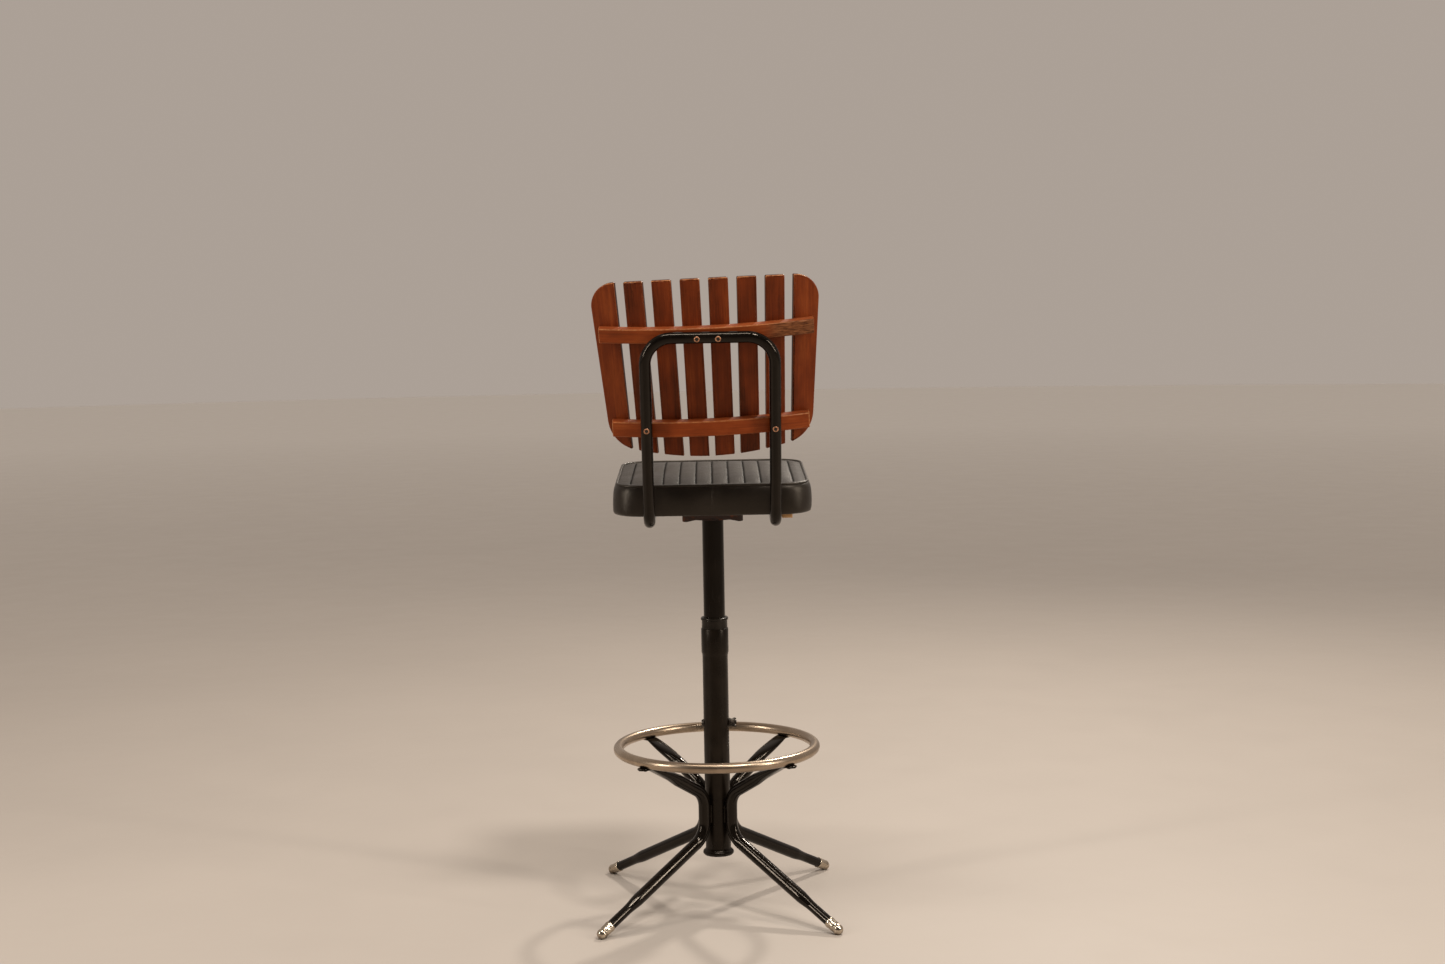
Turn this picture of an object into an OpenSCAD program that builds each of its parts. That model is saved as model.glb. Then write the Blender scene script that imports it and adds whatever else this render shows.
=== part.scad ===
// Drafting chair: a swivel stool on a four-legged base with a foot ring, a post that slides in the
// column to set the height, a channelled cushion and a slatted backrest on a bent tube.
// Origin: on the floor, on the column's axis. +Z is up, the sitter faces -Y, the backrest is at +Y.

/* [Base] */
// Outside diameter of the column tube
column_d = 49; // [47:0.5:51]
// Wall thickness of the column tube
column_wall = 1.6; // [1.4:0.1:1.8]
// Height of the column tube's flared lower rim
column_low = 102; // [98:1:106]
// Height of the column tube's open top
column_top = 540; // [530:1:550]
// Distance from the column's axis to where each foot rests
foot_reach = 307; // [290:1:320]
// Outside diameter of a leg tube
leg_d = 23.5; // [22:0.5:24]
// Wall thickness of a leg tube
leg_wall = 1.5; // [1.2:0.1:2]
// Diameter of the slimmer tube end that the foot cap covers
leg_tip_d = 18.5; // [17.5:0.5:19]
// Diameter of a foot cap
cap_d = 20; // [19.5:0.5:22]
// Radius of the foot ring, to the middle of its tube
ring_r = 189.7; // [185:0.1:195]
// Height of the foot ring's centre line
ring_z = 308; // [302:1:314]
// Outside diameter of the foot ring's tube
ring_d = 19.5; // [18:0.5:21]

/* [Post and height lock] */
// Outside diameter of the sliding post
post_d = 41.2; // [40:0.1:42]
// Height of the cross bolt that locks the post
lock_z = 355; // [350:1:360]
// Diameter of the cross bolt
lock_bolt_d = 8; // [6:0.5:8]
// How far the post can go down from the modelled height
post_drop = 150; // [100:5:155]
// How far the post can go up from the modelled height
post_rise = 25; // [10:1:28]

/* [Seat] */
// Height of the seat board's underside on the column's axis
seat_z = 786; // [784:1:790]
// Upward slope of the seat towards its front, in degrees
seat_tilt = 3.1; // [2:0.1:3.5]
// Width and depth of the cushion where its sides bulge most
cushion_w = 369; // [360:1:375]
// Height of the cushion's sides, from the board's underside to the welt
cushion_h = 54; // [50:1:60]
// Side of the square pressed pan under the seat
pan_w = 115; // [112:1:120]

/* [Back frame] */
// Outside diameter of the back frame's tube
frame_d = 21; // [20:0.5:22]
// Distance between the frame's two uprights, centre to centre
frame_w = 230; // [224:1:236]
// Backward lean of the uprights, in degrees
frame_lean = 16.5; // [15.5:0.1:17.5]
// Height of the frame's top cross tube, at its centre
frame_top_z = 1101.5; // [1095:0.5:1108]

/* [Backrest] */
// Backward lean of the slatted panel, in degrees
panel_lean = 12.7; // [12:0.1:13.5]
// Radius to which the battens are curved, on their front
batten_r = 580; // [560:5:640]
// Front-to-back thickness of a batten
batten_t = 24; // [20:1:26]
// Width of a slat
slat_w = 35; // [33:0.5:36]
// Thickness of a slat
slat_t = 9.5; // [8:0.5:10.5]
// Distance between neighbouring slats' centre lines at their top ends
slat_pitch_top = 50.5; // [50:0.5:52]
// Distance between neighbouring slats' centre lines at their bottom ends
slat_pitch_low = 46; // [45:0.5:47]
// Height of the slats' top ends
panel_top_z = 1205; // [1200:1:1210]
// Height of the lowest point of the slats' curved bottom line
panel_low_z = 887; // [884:1:892]
// Turn of the panel in its own plane, in degrees: it hangs askew on its screws
panel_skew = 1.8; // [0:0.1:2]

/* [Hidden] */
$fn = 64;

// Colours
black_paint = [0.06, 0.05, 0.045];
satin_metal = [0.62, 0.56, 0.49];
bright_metal = [0.8, 0.78, 0.74];
zinc = [0.6, 0.6, 0.58];
dark_plate = [0.13, 0.08, 0.06];
black_plastic = [0.08, 0.07, 0.065];
black_vinyl = [0.14, 0.13, 0.12];
plywood = [0.72, 0.55, 0.36];
foam_tan = [0.85, 0.78, 0.55];
bare_wood = [0.75, 0.52, 0.3];
stained_wood = [0.42, 0.19, 0.09];
copper = [0.75, 0.42, 0.27];

// Fits and small clearances
running = 0.05;
eps = 0.01;
over = 1;
lap = 0.1;
lap_step = 0.02;

// Column and lock
column_r = column_d / 2;
bore_r = column_r - column_wall;
bell_r = column_r + 1.7;
bell_bore_r = bell_r - column_wall;
bell_h = 46;
bell_taper = 6;
flare_r = 29.5;
flare_h = 8;
flare_turn = 67;
plug_t = 5;
post_r = post_d / 2;
post_bore_r = post_r - 1.5;
post_low = 300;
post_top = 752;
lock_r = lock_bolt_d / 2;
slot_r = lock_r + 0.3;
nut_face_x = column_r + 1.9;
nut_h = 8.5;
wing_angle = 60;

// Legs. Each lies in an upright plane through the column's axis: first value outward, second up.
leg_r = leg_d / 2;
tip_r = leg_tip_d / 2;
cap_r = cap_d / 2;
leg_angles = [45, 135, 225, 315];
cap_centre = [foot_reach, cap_r - 1];
upright_x = column_r + leg_r;
low_corner = [upright_x, 139.5];
high_corner = [upright_x, 219];
arm_end = [150, 274.5];
tab_t = 4;
tab_w = 26;
tab_x = 192;
tab_z = ring_z - ring_d / 2 + 0.8 - tab_t / 2;
low_bend = 45;
high_bend = 40;
swage_len = 34;
slim_len = 92;
cap_len = 24;

// Swivel
swivel_z = post_top;
plate_t = 3;
ball_r = 3;
ball_track_r = 34;
ball_z = swivel_z + plate_t + ball_r - 0.5;
ball_count = 10;
upper_plate_z = ball_z + ball_r - 0.5;
king_r = 6;

// Seat
board_t = 12;
board_inset = 5;
hem_t = 0.8;
hem_w = 22;
under_inset = 3;
under_h = 5;
skin = 1.5;
welt_r = 2.6;
welt_half = cushion_w / 2 - 8.5;
pan_t = 2.2;
pan_depth = 32;
pan_bolt_xy = 38;

// Back frame
frame_r = frame_d / 2;
frame_bore_r = frame_r - 1.5;
arm_drop = frame_r + hem_t + 0.3;
arm_start_y = 20;
upright_ref_z = 810;
upright_ref_y = 213;
low_frame_bend = 26;
top_frame_bend = 49;
arm_screw_y = [58, 118];
top_screw_x = [22.4, -15];
lower_screw_z = 939;

// Backrest. Panel frame: x across, y out of the back, z up the lean; its origin is the point of
// the upper batten's back that meets the frame's cross tube.
panel_y = upright_y(frame_top_z) - frame_r / cos(frame_lean);
slat_seat_r = batten_r - 0.5;
slat_back = -(batten_t + 0.5);
upper_batten = [383, 26, 4];
lower_batten = [355, 28, -167.6];
slat_count = 8;
outer_extra = 14;
panel_side_x = 203.5;
panel_side_z = 1120;
side_taper = 6;
top_corner_r = 40;
low_corner_r = 60;
low_arc_r = 577;

// ---- Functions ----

function unit(v) = v / norm(v);
function upright_y(z) = upright_ref_y + (z - upright_ref_z) * tan(frame_lean);
function seat_point(p) = [
    p[0],
    p[1] * cos(seat_tilt) + p[2] * sin(seat_tilt),
    seat_z - p[1] * sin(seat_tilt) + p[2] * cos(seat_tilt)];
function arc(c, r, a0, a1, n) = [for (i = [0:n]) c + r * [cos(a0 + (a1 - a0) * i / n),
    sin(a0 + (a1 - a0) * i / n)]];
// Angle turned through at a corner of a path
function turn(a, b, c) = acos(unit(b - a) * unit(c - b));
// Length from a corner to where its bend starts
function setback(a, b, c, r) = r * tan(turn(a, b, c) / 2);

// ---- Tools ----

// Straight round bar between two points
module bar(a, b, r, r_end = -1) {
    d = b - a;
    translate(a)
        rotate([0, acos(d[2] / norm(d)), atan2(d[1], d[0])])
            cylinder(h = norm(d), r1 = r, r2 = r_end < 0 ? r : r_end);
}

// Bend of a round bar at corner b of the path a-b-c
module bend(a, b, c, bend_r, r) {
    u = unit(b - a);
    v = unit(c - b);
    n = unit(v - (u * v) * u);
    m = cross(-n, u);
    o = b - u * setback(a, b, c, bend_r) + n * bend_r;
    multmatrix([
        [-n[0], u[0], m[0], o[0]],
        [-n[1], u[1], m[1], o[1]],
        [-n[2], u[2], m[2], o[2]]])
        rotate_extrude(angle = turn(a, b, c))
            translate([bend_r, 0])
                circle(r - lap_step);
}

// Round bar along a path, bent at each inner corner to its own radius. The straight lengths are a
// hair thicker than the bends and lap over their ends, so that the pieces join cleanly.
module bent_bar(path, radii, r) {
    last = len(path) - 1;
    for (i = [1:last - 1]) {
        bend(path[i - 1], path[i], path[i + 1], radii[i - 1], r);
    }
    for (i = [0:last - 1]) {
        d = unit(path[i + 1] - path[i]);
        s = i == 0 ? 0 : setback(path[i - 1], path[i], path[i + 1], radii[i - 1]) - lap;
        e = i == last - 1 ? 0 : setback(path[i], path[i + 1], path[i + 2], radii[i]) - lap;
        bar(path[i] + d * s, path[i + 1] - d * e, r);
    }
}

// Flat square with rounded corners, centred
module round_square(half, corner) {
    square([2 * half, 2 * (half - corner)], center = true);
    square([2 * (half - corner), 2 * half], center = true);
    for (x = [-1, 1], y = [-1, 1]) {
        translate([x * (half - corner), y * (half - corner)])
            circle(corner);
    }
}

module ring(r_out, r_in, h) {
    difference() {
        cylinder(h = h, r = r_out);
        translate([0, 0, -over])
            cylinder(h = h + 2 * over, r = r_in);
    }
}

module hexagon(flats, h) {
    cylinder(h = h, r = flats / 2 / cos(30), $fn = 6);
}

// Places children in the tilted seat frame, origin under the middle of the board
module in_seat() {
    translate([0, 0, seat_z])
        rotate([-seat_tilt, 0, 0])
            children();
}

// Places children in the leaning panel frame, which turns askew about the lower batten's middle
module in_panel() {
    translate([0, panel_y, frame_top_z])
        rotate([-panel_lean, 0, 0])
            translate([0, 0, lower_batten[2]])
                rotate([0, panel_skew, 0])
                    translate([0, 0, -lower_batten[2]])
                        children();
}

// ---- Base ----

module column_tube() {
    bell_z = column_top - bell_h;
    color(black_paint)
        difference() {
            rotate_extrude()
                polygon(concat(
                    [[bore_r, column_low + flare_h]],
                    arc([bore_r + flare_h, column_low + flare_h], flare_h, 180, 180 + flare_turn, 6),
                    [[flare_r, column_low], [flare_r, column_low + 2.5]],
                    arc([column_r + flare_h, column_low + flare_h + 2], flare_h, 180 + flare_turn, 180, 6),
                    [[column_r, bell_z - bell_taper], [bell_r, bell_z], [bell_r, column_top],
                        [bell_bore_r, column_top], [bell_bore_r, bell_z],
                        [bore_r, bell_z - bell_taper]]));
            translate([-column_d, 0, lock_z])
                rotate([0, 90, 0])
                    cylinder(h = 2 * column_d, r = lock_r + 0.1);
        }
}

module column_plug() {
    color(black_plastic) {
        translate([0, 0, column_low - plug_t])
            cylinder(h = plug_t / 2, r1 = flare_r - 1.5, r2 = flare_r + 0.3);
        translate([0, 0, column_low - plug_t / 2])
            cylinder(h = plug_t / 2, r = flare_r + 0.3);
        translate([0, 0, column_low])
            ring(bore_r - 0.1, bore_r - 3, 22);
        translate([0, 0, column_low])
            cylinder(h = 2, r = bore_r - 0.1);
    }
}

module top_bushing() {
    lip_r = bell_r + 0.1;
    lip_z = column_top + 16;
    color(black_plastic)
        difference() {
            union() {
                translate([0, 0, column_top - bell_h + 2])
                    cylinder(h = bell_h - 2, r = bell_bore_r);
                translate([0, 0, column_top])
                    cylinder(h = lip_z - column_top, r = column_r + 0.15);
                translate([0, 0, lip_z + 3])
                    rotate_extrude()
                        translate([lip_r - 3, 0])
                            circle(3);
                translate([0, 0, lip_z])
                    cylinder(h = 6, r = lip_r - 3);
            }
            translate([0, 0, column_top - bell_h])
                cylinder(h = bell_h + 40, r = post_r + running);
        }
}

module lock_bolt() {
    head_x = column_r + 0.1;
    color(zinc) {
        translate([-39, 0, lock_z])
            rotate([0, 90, 0])
                cylinder(h = 39 + head_x, r = lock_r);
        difference() {
            translate([head_x, 0, lock_z])
                rotate([0, 90, 0])
                    cylinder(h = 4, r1 = 7.5, r2 = 5);
            translate([head_x + 2.6, -8, lock_z - 0.7])
                cube([4, 16, 1.4]);
        }
    }
}

module lock_washer() {
    color(zinc)
        translate([-nut_face_x + 0.1, 0, lock_z])
            rotate([0, 90, 0])
                ring(8.5, lock_r + 0.2, 1.6);
}

module wing_nut() {
    color(zinc)
        translate([-nut_face_x, 0, lock_z])
            rotate([wing_angle, 0, 0])
                rotate([0, -90, 0])
                    difference() {
                        union() {
                            cylinder(h = nut_h, r1 = 7.8, r2 = 6.2);
                            for (side = [-1, 1]) {
                                hull() {
                                    translate([side * 5, 0, 3])
                                        rotate([90, 0, 0])
                                            cylinder(h = 2.6, r = 2.6, center = true, $fn = 24);
                                    translate([side * 11.5, 0, 10])
                                        rotate([90, 0, 0])
                                            cylinder(h = 2, r = 4, center = true, $fn = 24);
                                }
                            }
                        }
                        translate([0, 0, -over])
                            cylinder(h = nut_h + 2 * over, r = lock_r + 0.06);
                        translate([0, 0, nut_h])
                            cylinder(h = 8, r = 6.3);
                    }
}

// Solid outline of one leg, thinner all round by the given amount
module leg_form(less) {
    function out3(p) = [p[0], 0, p[1]];
    r = leg_r - less;
    foot_dir = unit(cap_centre - low_corner);
    arm_dir = unit(arm_end - high_corner);
    swage_start = cap_centre - foot_dir * (slim_len + swage_len);
    slim_end = slim_len + swage_len + (less > 0 ? over : -5);
    bent_bar([out3(swage_start), out3(low_corner), out3(high_corner), out3(arm_end)],
        [low_bend, high_bend], r);
    translate(out3(swage_start))
        rotate([0, atan2(foot_dir[0], foot_dir[1]), 0])
            rotate_extrude()
                polygon([[0, -over], [r - lap_step, -over], [r - lap_step, 0],
                    [tip_r - less, swage_len], [tip_r - less, slim_end], [0, slim_end]]);
    hull() {
        bar(out3(arm_end - arm_dir * lap), out3(arm_end), r - 0.05, $fn = 32);
        translate([tab_x - 10 - less * 2, 0, tab_z])
            cube([1, tab_w - 2 * less, tab_t - 2 * less], center = true);
    }
}

module leg(number) {
    color(black_paint)
        rotate([0, 0, leg_angles[number - 1]])
            difference() {
                union() {
                    leg_form(0);
                    translate([tab_x - 10, -tab_w / 2 + eps, tab_z - tab_t / 2 + eps])
                        cube([12, tab_w - 2 * eps, tab_t - 2 * eps]);
                    translate([tab_x + 1, 0, tab_z - tab_t / 2])
                        cylinder(h = tab_t, r = tab_w / 2);
                }
                leg_form(leg_wall);
                translate([0, 0, ring_z])
                    ring_form(ring_d / 2);
                translate([ring_r, 0, tab_z - 10])
                    cylinder(h = 20, r = 2.4);
            }
}

// Beads that join the legs to the column, one in each corner between the two tubes
module leg_welds() {
    bead_r = 1.6;
    a = column_r + bead_r - 0.4;
    b = leg_r + bead_r - 0.4;
    x = (a * a - b * b + upright_x * upright_x) / (2 * upright_x);
    color(black_paint)
        for (angle = leg_angles, side = [-1, 1]) {
            rotate([0, 0, angle])
                translate([x, side * sqrt(a * a - x * x), 164]) {
                    cylinder(h = 32, r = bead_r);
                    sphere(bead_r);
                    translate([0, 0, 32])
                        sphere(bead_r);
                }
        }
}

module foot_cap(number) {
    foot_dir = unit(cap_centre - low_corner);
    color(bright_metal)
        rotate([0, 0, leg_angles[number - 1]])
            difference() {
                translate([cap_centre[0], 0, cap_centre[1]])
                    rotate([0, atan2(-foot_dir[0], -foot_dir[1]), 0])
                        rotate_extrude()
                            cap_profile();
                translate([0, -30, -60])
                    cube([400, 60, 60]);
            }
}

// Half section of a foot cap. Its axis is the leg's lower run and its round end's centre is at 0.
module cap_profile() {
    seat_y = 5;
    intersection() {
        circle(cap_r);
        translate([0, -cap_r])
            square([cap_r, cap_r + eps]);
    }
    square([cap_r, seat_y]);
    translate([tip_r, seat_y - eps])
        square([cap_r - tip_r, cap_len - seat_y]);
    translate([tip_r, cap_len - 5])
        square([cap_r + 0.5 - tip_r, 5]);
}

// Solid torus of the foot ring's line
module ring_form(r) {
    rotate_extrude($fn = 128)
        translate([ring_r, 0])
            circle(r);
}

module foot_ring() {
    color(satin_metal)
        difference() {
            translate([0, 0, ring_z])
                ring_form(ring_d / 2);
            translate([0, 0, ring_z])
                ring_form(ring_d / 2 - 1.5);
            for (a = leg_angles) {
                rotate([0, 0, a])
                    translate([ring_r, 0, ring_z - ring_d])
                        cylinder(h = ring_d, r = 2.4);
            }
        }
}

module ring_screws() {
    head_z = tab_z - tab_t / 2;
    color(zinc)
        for (a = leg_angles) {
            rotate([0, 0, a])
                translate([ring_r, 0, head_z]) {
                    translate([0, 0, -3])
                        cylinder(h = 3, r1 = 3, r2 = 4.6);
                    cylinder(h = 12, r = 2.4);
                }
        }
}

// ---- Post and swivel ----

module post_tube() {
    slot_low = lock_z - post_rise;
    slot_high = lock_z + post_drop;
    color(black_paint)
        difference() {
            translate([0, 0, post_low])
                cylinder(h = post_top - post_low, r = post_r);
            translate([0, 0, post_low - over])
                cylinder(h = post_top - post_low + 2 * over, r = post_bore_r);
            for (z = [slot_low, slot_high]) {
                translate([-post_d, 0, z])
                    rotate([0, 90, 0])
                        cylinder(h = 2 * post_d, r = slot_r);
            }
            translate([-post_d, -slot_r, slot_low])
                cube([2 * post_d, 2 * slot_r, slot_high - slot_low]);
        }
}

module post_guide() {
    color(black_plastic)
        translate([0, 0, post_low])
            ring(bore_r - running, post_r, 22);
}

// Groove that the balls run in
module ball_track() {
    translate([0, 0, ball_z])
        rotate_extrude()
            translate([ball_track_r, 0])
                circle(ball_r + running);
}

module swivel_lower_plate() {
    color(dark_plate)
        difference() {
            union() {
                translate([0, 0, swivel_z])
                    cylinder(h = plate_t, r = 44);
                translate([0, 0, swivel_z - 14])
                    ring(post_bore_r - running, 14, 14);
            }
            translate([0, 0, swivel_z - over])
                cylinder(h = plate_t + 2 * over, r = king_r + 0.06);
            ball_track();
        }
}

module swivel_balls() {
    color(bright_metal)
        for (i = [0:ball_count - 1]) {
            rotate([0, 0, i * 360 / ball_count])
                translate([ball_track_r, 0, ball_z])
                    sphere(ball_r);
        }
}

module ball_cage() {
    color(copper)
        difference() {
            translate([0, 0, ball_z - 0.6])
                ring(ball_track_r + 5, ball_track_r - 5, 1.2);
            for (i = [0:ball_count - 1]) {
                rotate([0, 0, i * 360 / ball_count])
                    translate([ball_track_r, 0, ball_z - 5])
                        cylinder(h = 10, r = ball_r + 0.1);
            }
        }
}

module swivel_upper_plate() {
    color(dark_plate)
        difference() {
            translate([0, 0, upper_plate_z])
                cylinder(h = plate_t, r = 46);
            translate([0, 0, upper_plate_z - over])
                cylinder(h = plate_t + 2 * over, r = king_r);
            ball_track();
        }
}

module king_bolt() {
    head_z = upper_plate_z + plate_t;
    color(zinc) {
        translate([0, 0, head_z])
            hexagon(18, 7);
        translate([0, 0, swivel_z - 12])
            cylinder(h = head_z - swivel_z + 12, r = king_r);
    }
}

module king_nut() {
    color(zinc)
        translate([0, 0, swivel_z - 9])
            difference() {
                hexagon(18, 8.5);
                translate([0, 0, -over])
                    cylinder(h = 12, r = king_r);
            }
}

// ---- Seat ----

module tilt_wedge() {
    color(dark_plate)
        difference() {
            translate([0, 0, upper_plate_z + plate_t])
                ring(32, 16, 30);
            in_seat()
                translate([-100, -100, -pan_t])
                    cube([200, 200, 60]);
        }
}

module seat_pan() {
    arch_r = 210;
    color(dark_plate)
        in_seat()
            difference() {
                translate([0, 0, -pan_depth])
                    linear_extrude(pan_depth)
                        round_square(pan_w / 2, 12);
                translate([0, 0, -pan_depth - over])
                    linear_extrude(pan_depth - pan_t + over)
                        round_square(pan_w / 2 - pan_t, 12 - pan_t);
                for (turned = [0, 90]) {
                    rotate([0, 0, turned])
                        translate([0, -pan_w, 6 - pan_depth - arch_r])
                            rotate([-90, 0, 0])
                                cylinder(h = 2 * pan_w, r = arch_r, $fn = 128);
                }
                for (x = [-1, 1], y = [-1, 1]) {
                    translate([x * pan_bolt_xy, y * pan_bolt_xy, -10])
                        cylinder(h = 20, r = 3.2);
                }
            }
}

module pan_bolts() {
    color(zinc)
        in_seat()
            for (x = [-1, 1], y = [-1, 1]) {
                translate([x * pan_bolt_xy, y * pan_bolt_xy, 0]) {
                    translate([0, 0, -pan_t - 4])
                        hexagon(10, 4);
                    translate([0, 0, -pan_t])
                        cylinder(h = pan_t + board_t - 0.5, r = 3);
                }
            }
}

module tee_nuts() {
    color(zinc)
        in_seat()
            for (x = [-1, 1], y = [-1, 1]) {
                translate([x * pan_bolt_xy, y * pan_bolt_xy, 0]) {
                    translate([0, 0, board_t - 1.2])
                        ring(9, 3, 1.2);
                    translate([0, 0, 3])
                        ring(4, 3, board_t - 4);
                }
            }
}

module seat_board() {
    color(plywood)
        in_seat()
            difference() {
                linear_extrude(board_t)
                    round_square(cushion_w / 2 - board_inset, 47);
                for (x = [-1, 1], y = [-1, 1]) {
                    translate([x * pan_bolt_xy, y * pan_bolt_xy, 0]) {
                        translate([0, 0, -over])
                            cylinder(h = 20, r = 3.2);
                        translate([0, 0, 3])
                            cylinder(h = 20, r = 4);
                        translate([0, 0, board_t - 1.2])
                            cylinder(h = 5, r = 9);
                    }
                }
                for (x = [-1, 1], y = arm_screw_y) {
                    translate([x * frame_w / 2, y, -over])
                        cylinder(h = 10 + over, r = 2.9);
                }
            }
}

// Crowned solid of the cushion, smaller all round by the given amount. Its lower edge is rounded.
module cushion_form(less) {
    half = cushion_w / 2 - less;
    hull() {
        linear_extrude(1)
            round_square(half - under_inset, 50 - less, $fn = 48);
        translate([0, 0, under_h])
            linear_extrude(cushion_h * 0.72 - under_h)
                round_square(half, 52 - less, $fn = 48);
        linear_extrude(cushion_h - less)
            round_square(half - 8.5, 50 - less, $fn = 48);
        linear_extrude(cushion_h + 5 - less)
            round_square(half - 32, 60, $fn = 48);
        linear_extrude(cushion_h + 9 - less)
            round_square(half - 95, 60, $fn = 48);
    }
}

module seat_foam() {
    color(foam_tan)
        in_seat()
            difference() {
                cushion_form(skin + 0.1);
                translate([-300, -300, -over])
                    cube([600, 600, board_t + over + eps]);
                welt_form(welt_r + 0.3);
            }
}

module seat_cover() {
    color(black_vinyl)
        in_seat() {
            difference() {
                cushion_form(0);
                cushion_form(skin);
                translate([0, 0, -over])
                    linear_extrude(over + 2)
                        round_square(cushion_w / 2 - under_inset - skin - 0.2, 48);
            }
            translate([0, 0, -hem_t])
                linear_extrude(hem_t)
                    difference() {
                        round_square(cushion_w / 2 - under_inset - 1, 49);
                        round_square(cushion_w / 2 - under_inset - hem_w, 30);
                    }
        }
}

// Closed round cord along the cushion's upper seam, in the seat frame
module welt_form(r) {
    corner = 50;
    straight = 2 * (welt_half - corner);
    translate([0, 0, cushion_h])
        for (a = [0:90:270]) {
            rotate([0, 0, a]) {
                translate([welt_half, straight / 2, 0])
                    rotate([90, 0, 0])
                        cylinder(h = straight, r = r);
                translate([straight / 2, straight / 2, 0])
                    rotate_extrude(angle = 90)
                        translate([corner, 0])
                            circle(r);
            }
        }
}

module seat_welt() {
    color(black_vinyl)
        in_seat()
            welt_form(welt_r);
}

module seat_cleat() {
    color(bare_wood)
        in_seat()
            translate([-147, 112, -9 - hem_t])
                cube([20, 58, 9]);
}

// ---- Back frame ----

// Distance along the seat, from its middle, to where an arm's line meets the upright's line
arm_corner_y = (upright_ref_y + (seat_z - upright_ref_z - arm_drop * cos(seat_tilt)) * tan(frame_lean)
    + arm_drop * sin(seat_tilt)) / (cos(seat_tilt) + sin(seat_tilt) * tan(frame_lean));

module frame_form(r, longer) {
    half = frame_w / 2;
    path = [
        seat_point([half, arm_start_y - longer, -arm_drop]),
        seat_point([half, arm_corner_y, -arm_drop]),
        [half, upright_y(frame_top_z), frame_top_z],
        [-half, upright_y(frame_top_z), frame_top_z],
        seat_point([-half, arm_corner_y, -arm_drop]),
        seat_point([-half, arm_start_y - longer, -arm_drop])];
    bent_bar(path, [low_frame_bend, top_frame_bend, top_frame_bend, low_frame_bend], r);
}

// Lines of the four screws that hold the panel: each is a point on the tube's centre line
function screw_points() = [
    [top_screw_x[0], upright_y(frame_top_z), frame_top_z],
    [top_screw_x[1], upright_y(frame_top_z), frame_top_z],
    [frame_w / 2, upright_y(lower_screw_z), lower_screw_z],
    [-frame_w / 2, upright_y(lower_screw_z), lower_screw_z]];

// Places children at each panel screw, +Z pointing out of the tube's back. $tube_turn is the
// angle about +Z at which the tube runs there: across at the top, upright at the sides.
module at_panel_screws() {
    for (p = screw_points()) {
        $tube_turn = p[2] < frame_top_z ? 90 : 0;
        translate(p)
            rotate([-90 - frame_lean, 0, 0])
                children();
    }
}

module back_frame() {
    color(black_paint)
        difference() {
            frame_form(frame_r, 0);
            frame_form(frame_bore_r, over);
            at_panel_screws()
                translate([0, 0, -frame_d])
                    cylinder(h = 2 * frame_d, r = 2.4);
            in_seat()
                for (x = [-1, 1], y = arm_screw_y) {
                    translate([x * frame_w / 2, y, -arm_drop - frame_d])
                        cylinder(h = 2 * frame_d, r = 3);
                }
        }
}

module frame_plugs() {
    color(black_plastic)
        for (side = [-1, 1]) {
            tip = seat_point([side * frame_w / 2, arm_start_y, -arm_drop]);
            inner = seat_point([side * frame_w / 2, arm_start_y + 14, -arm_drop]);
            outer = seat_point([side * frame_w / 2, arm_start_y - 3, -arm_drop]);
            bar((outer + tip) / 2, inner, frame_bore_r - 0.05);
            bar(outer, tip, frame_r - 1, frame_r);
        }
}

module frame_screws() {
    color(zinc)
        in_seat()
            for (x = [-1, 1], y = arm_screw_y) {
                translate([x * frame_w / 2, y, -arm_drop - frame_r]) {
                    translate([0, 0, -3.5])
                        cylinder(h = 3.5, r1 = 4, r2 = 5.5);
                    cylinder(h = frame_r + arm_drop + 9, r = 2.9);
                }
            }
}

module back_screws() {
    color(zinc)
        at_panel_screws() {
            translate([0, 0, -frame_r - 18])
                cylinder(h = 18 + frame_d, r = 2.4);
            translate([0, 0, frame_r])
                cylinder(h = 1.2, r1 = 2.4, r2 = 3.2);
        }
}

module cup_washers() {
    color(copper)
        at_panel_screws()
            difference() {
                translate([0, 0, frame_r - 1.6])
                    rotate_extrude()
                        polygon([[2.6, 0], [5.2, 0], [5.2, 2.4], [4.4, 3.2], [3.7, 3.2], [2.6, 1.6]]);
                rotate([0, 90, $tube_turn])
                    cylinder(h = 30, r = frame_r, center = true);
            }
}

// ---- Backrest ----

module batten(size) {
    width = size[0];
    height = size[1];
    color(stained_wood)
        difference() {
            in_panel()
                intersection() {
                    translate([0, -batten_r - batten_t, size[2] - height / 2])
                        ring(batten_r + batten_t, batten_r, height, $fn = 360);
                    translate([-width / 2, -batten_r / 2, size[2] - height])
                        cube([width, batten_r, 2 * height]);
                }
            frame_form(frame_r, 0);
        }
}

// Forward set-back of the curved panel at a distance from its middle
function sag(x) = x * x / (2 * batten_r);

// Point of the panel's outline, from its distance across and its height above the floor
function panel_point(p) = [
    p[0],
    (p[1] - frame_top_z - (sag(p[0]) - slat_back) * sin(panel_lean)) / cos(panel_lean)];

// Right half of the outline. The side's straight line leans in by side_taper; the lower corner's
// arc touches that line and the bottom arc.
function low_corner_z() =
    let (b = tan(side_taper))
    let (a = panel_side_x - panel_side_z * b - low_corner_r / cos(side_taper))
    let (c = panel_low_z + low_arc_r)
    let (d = low_arc_r - low_corner_r)
    let (qa = 1 + b * b)
    let (qb = 2 * (a * b - c))
    let (qc = a * a + c * c - d * d)
    (-qb - sqrt(qb * qb - 4 * qa * qc)) / (2 * qa);
function low_corner_x() = panel_side_x - (panel_side_z - low_corner_z()) * tan(side_taper)
    - low_corner_r / cos(side_taper);

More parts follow.
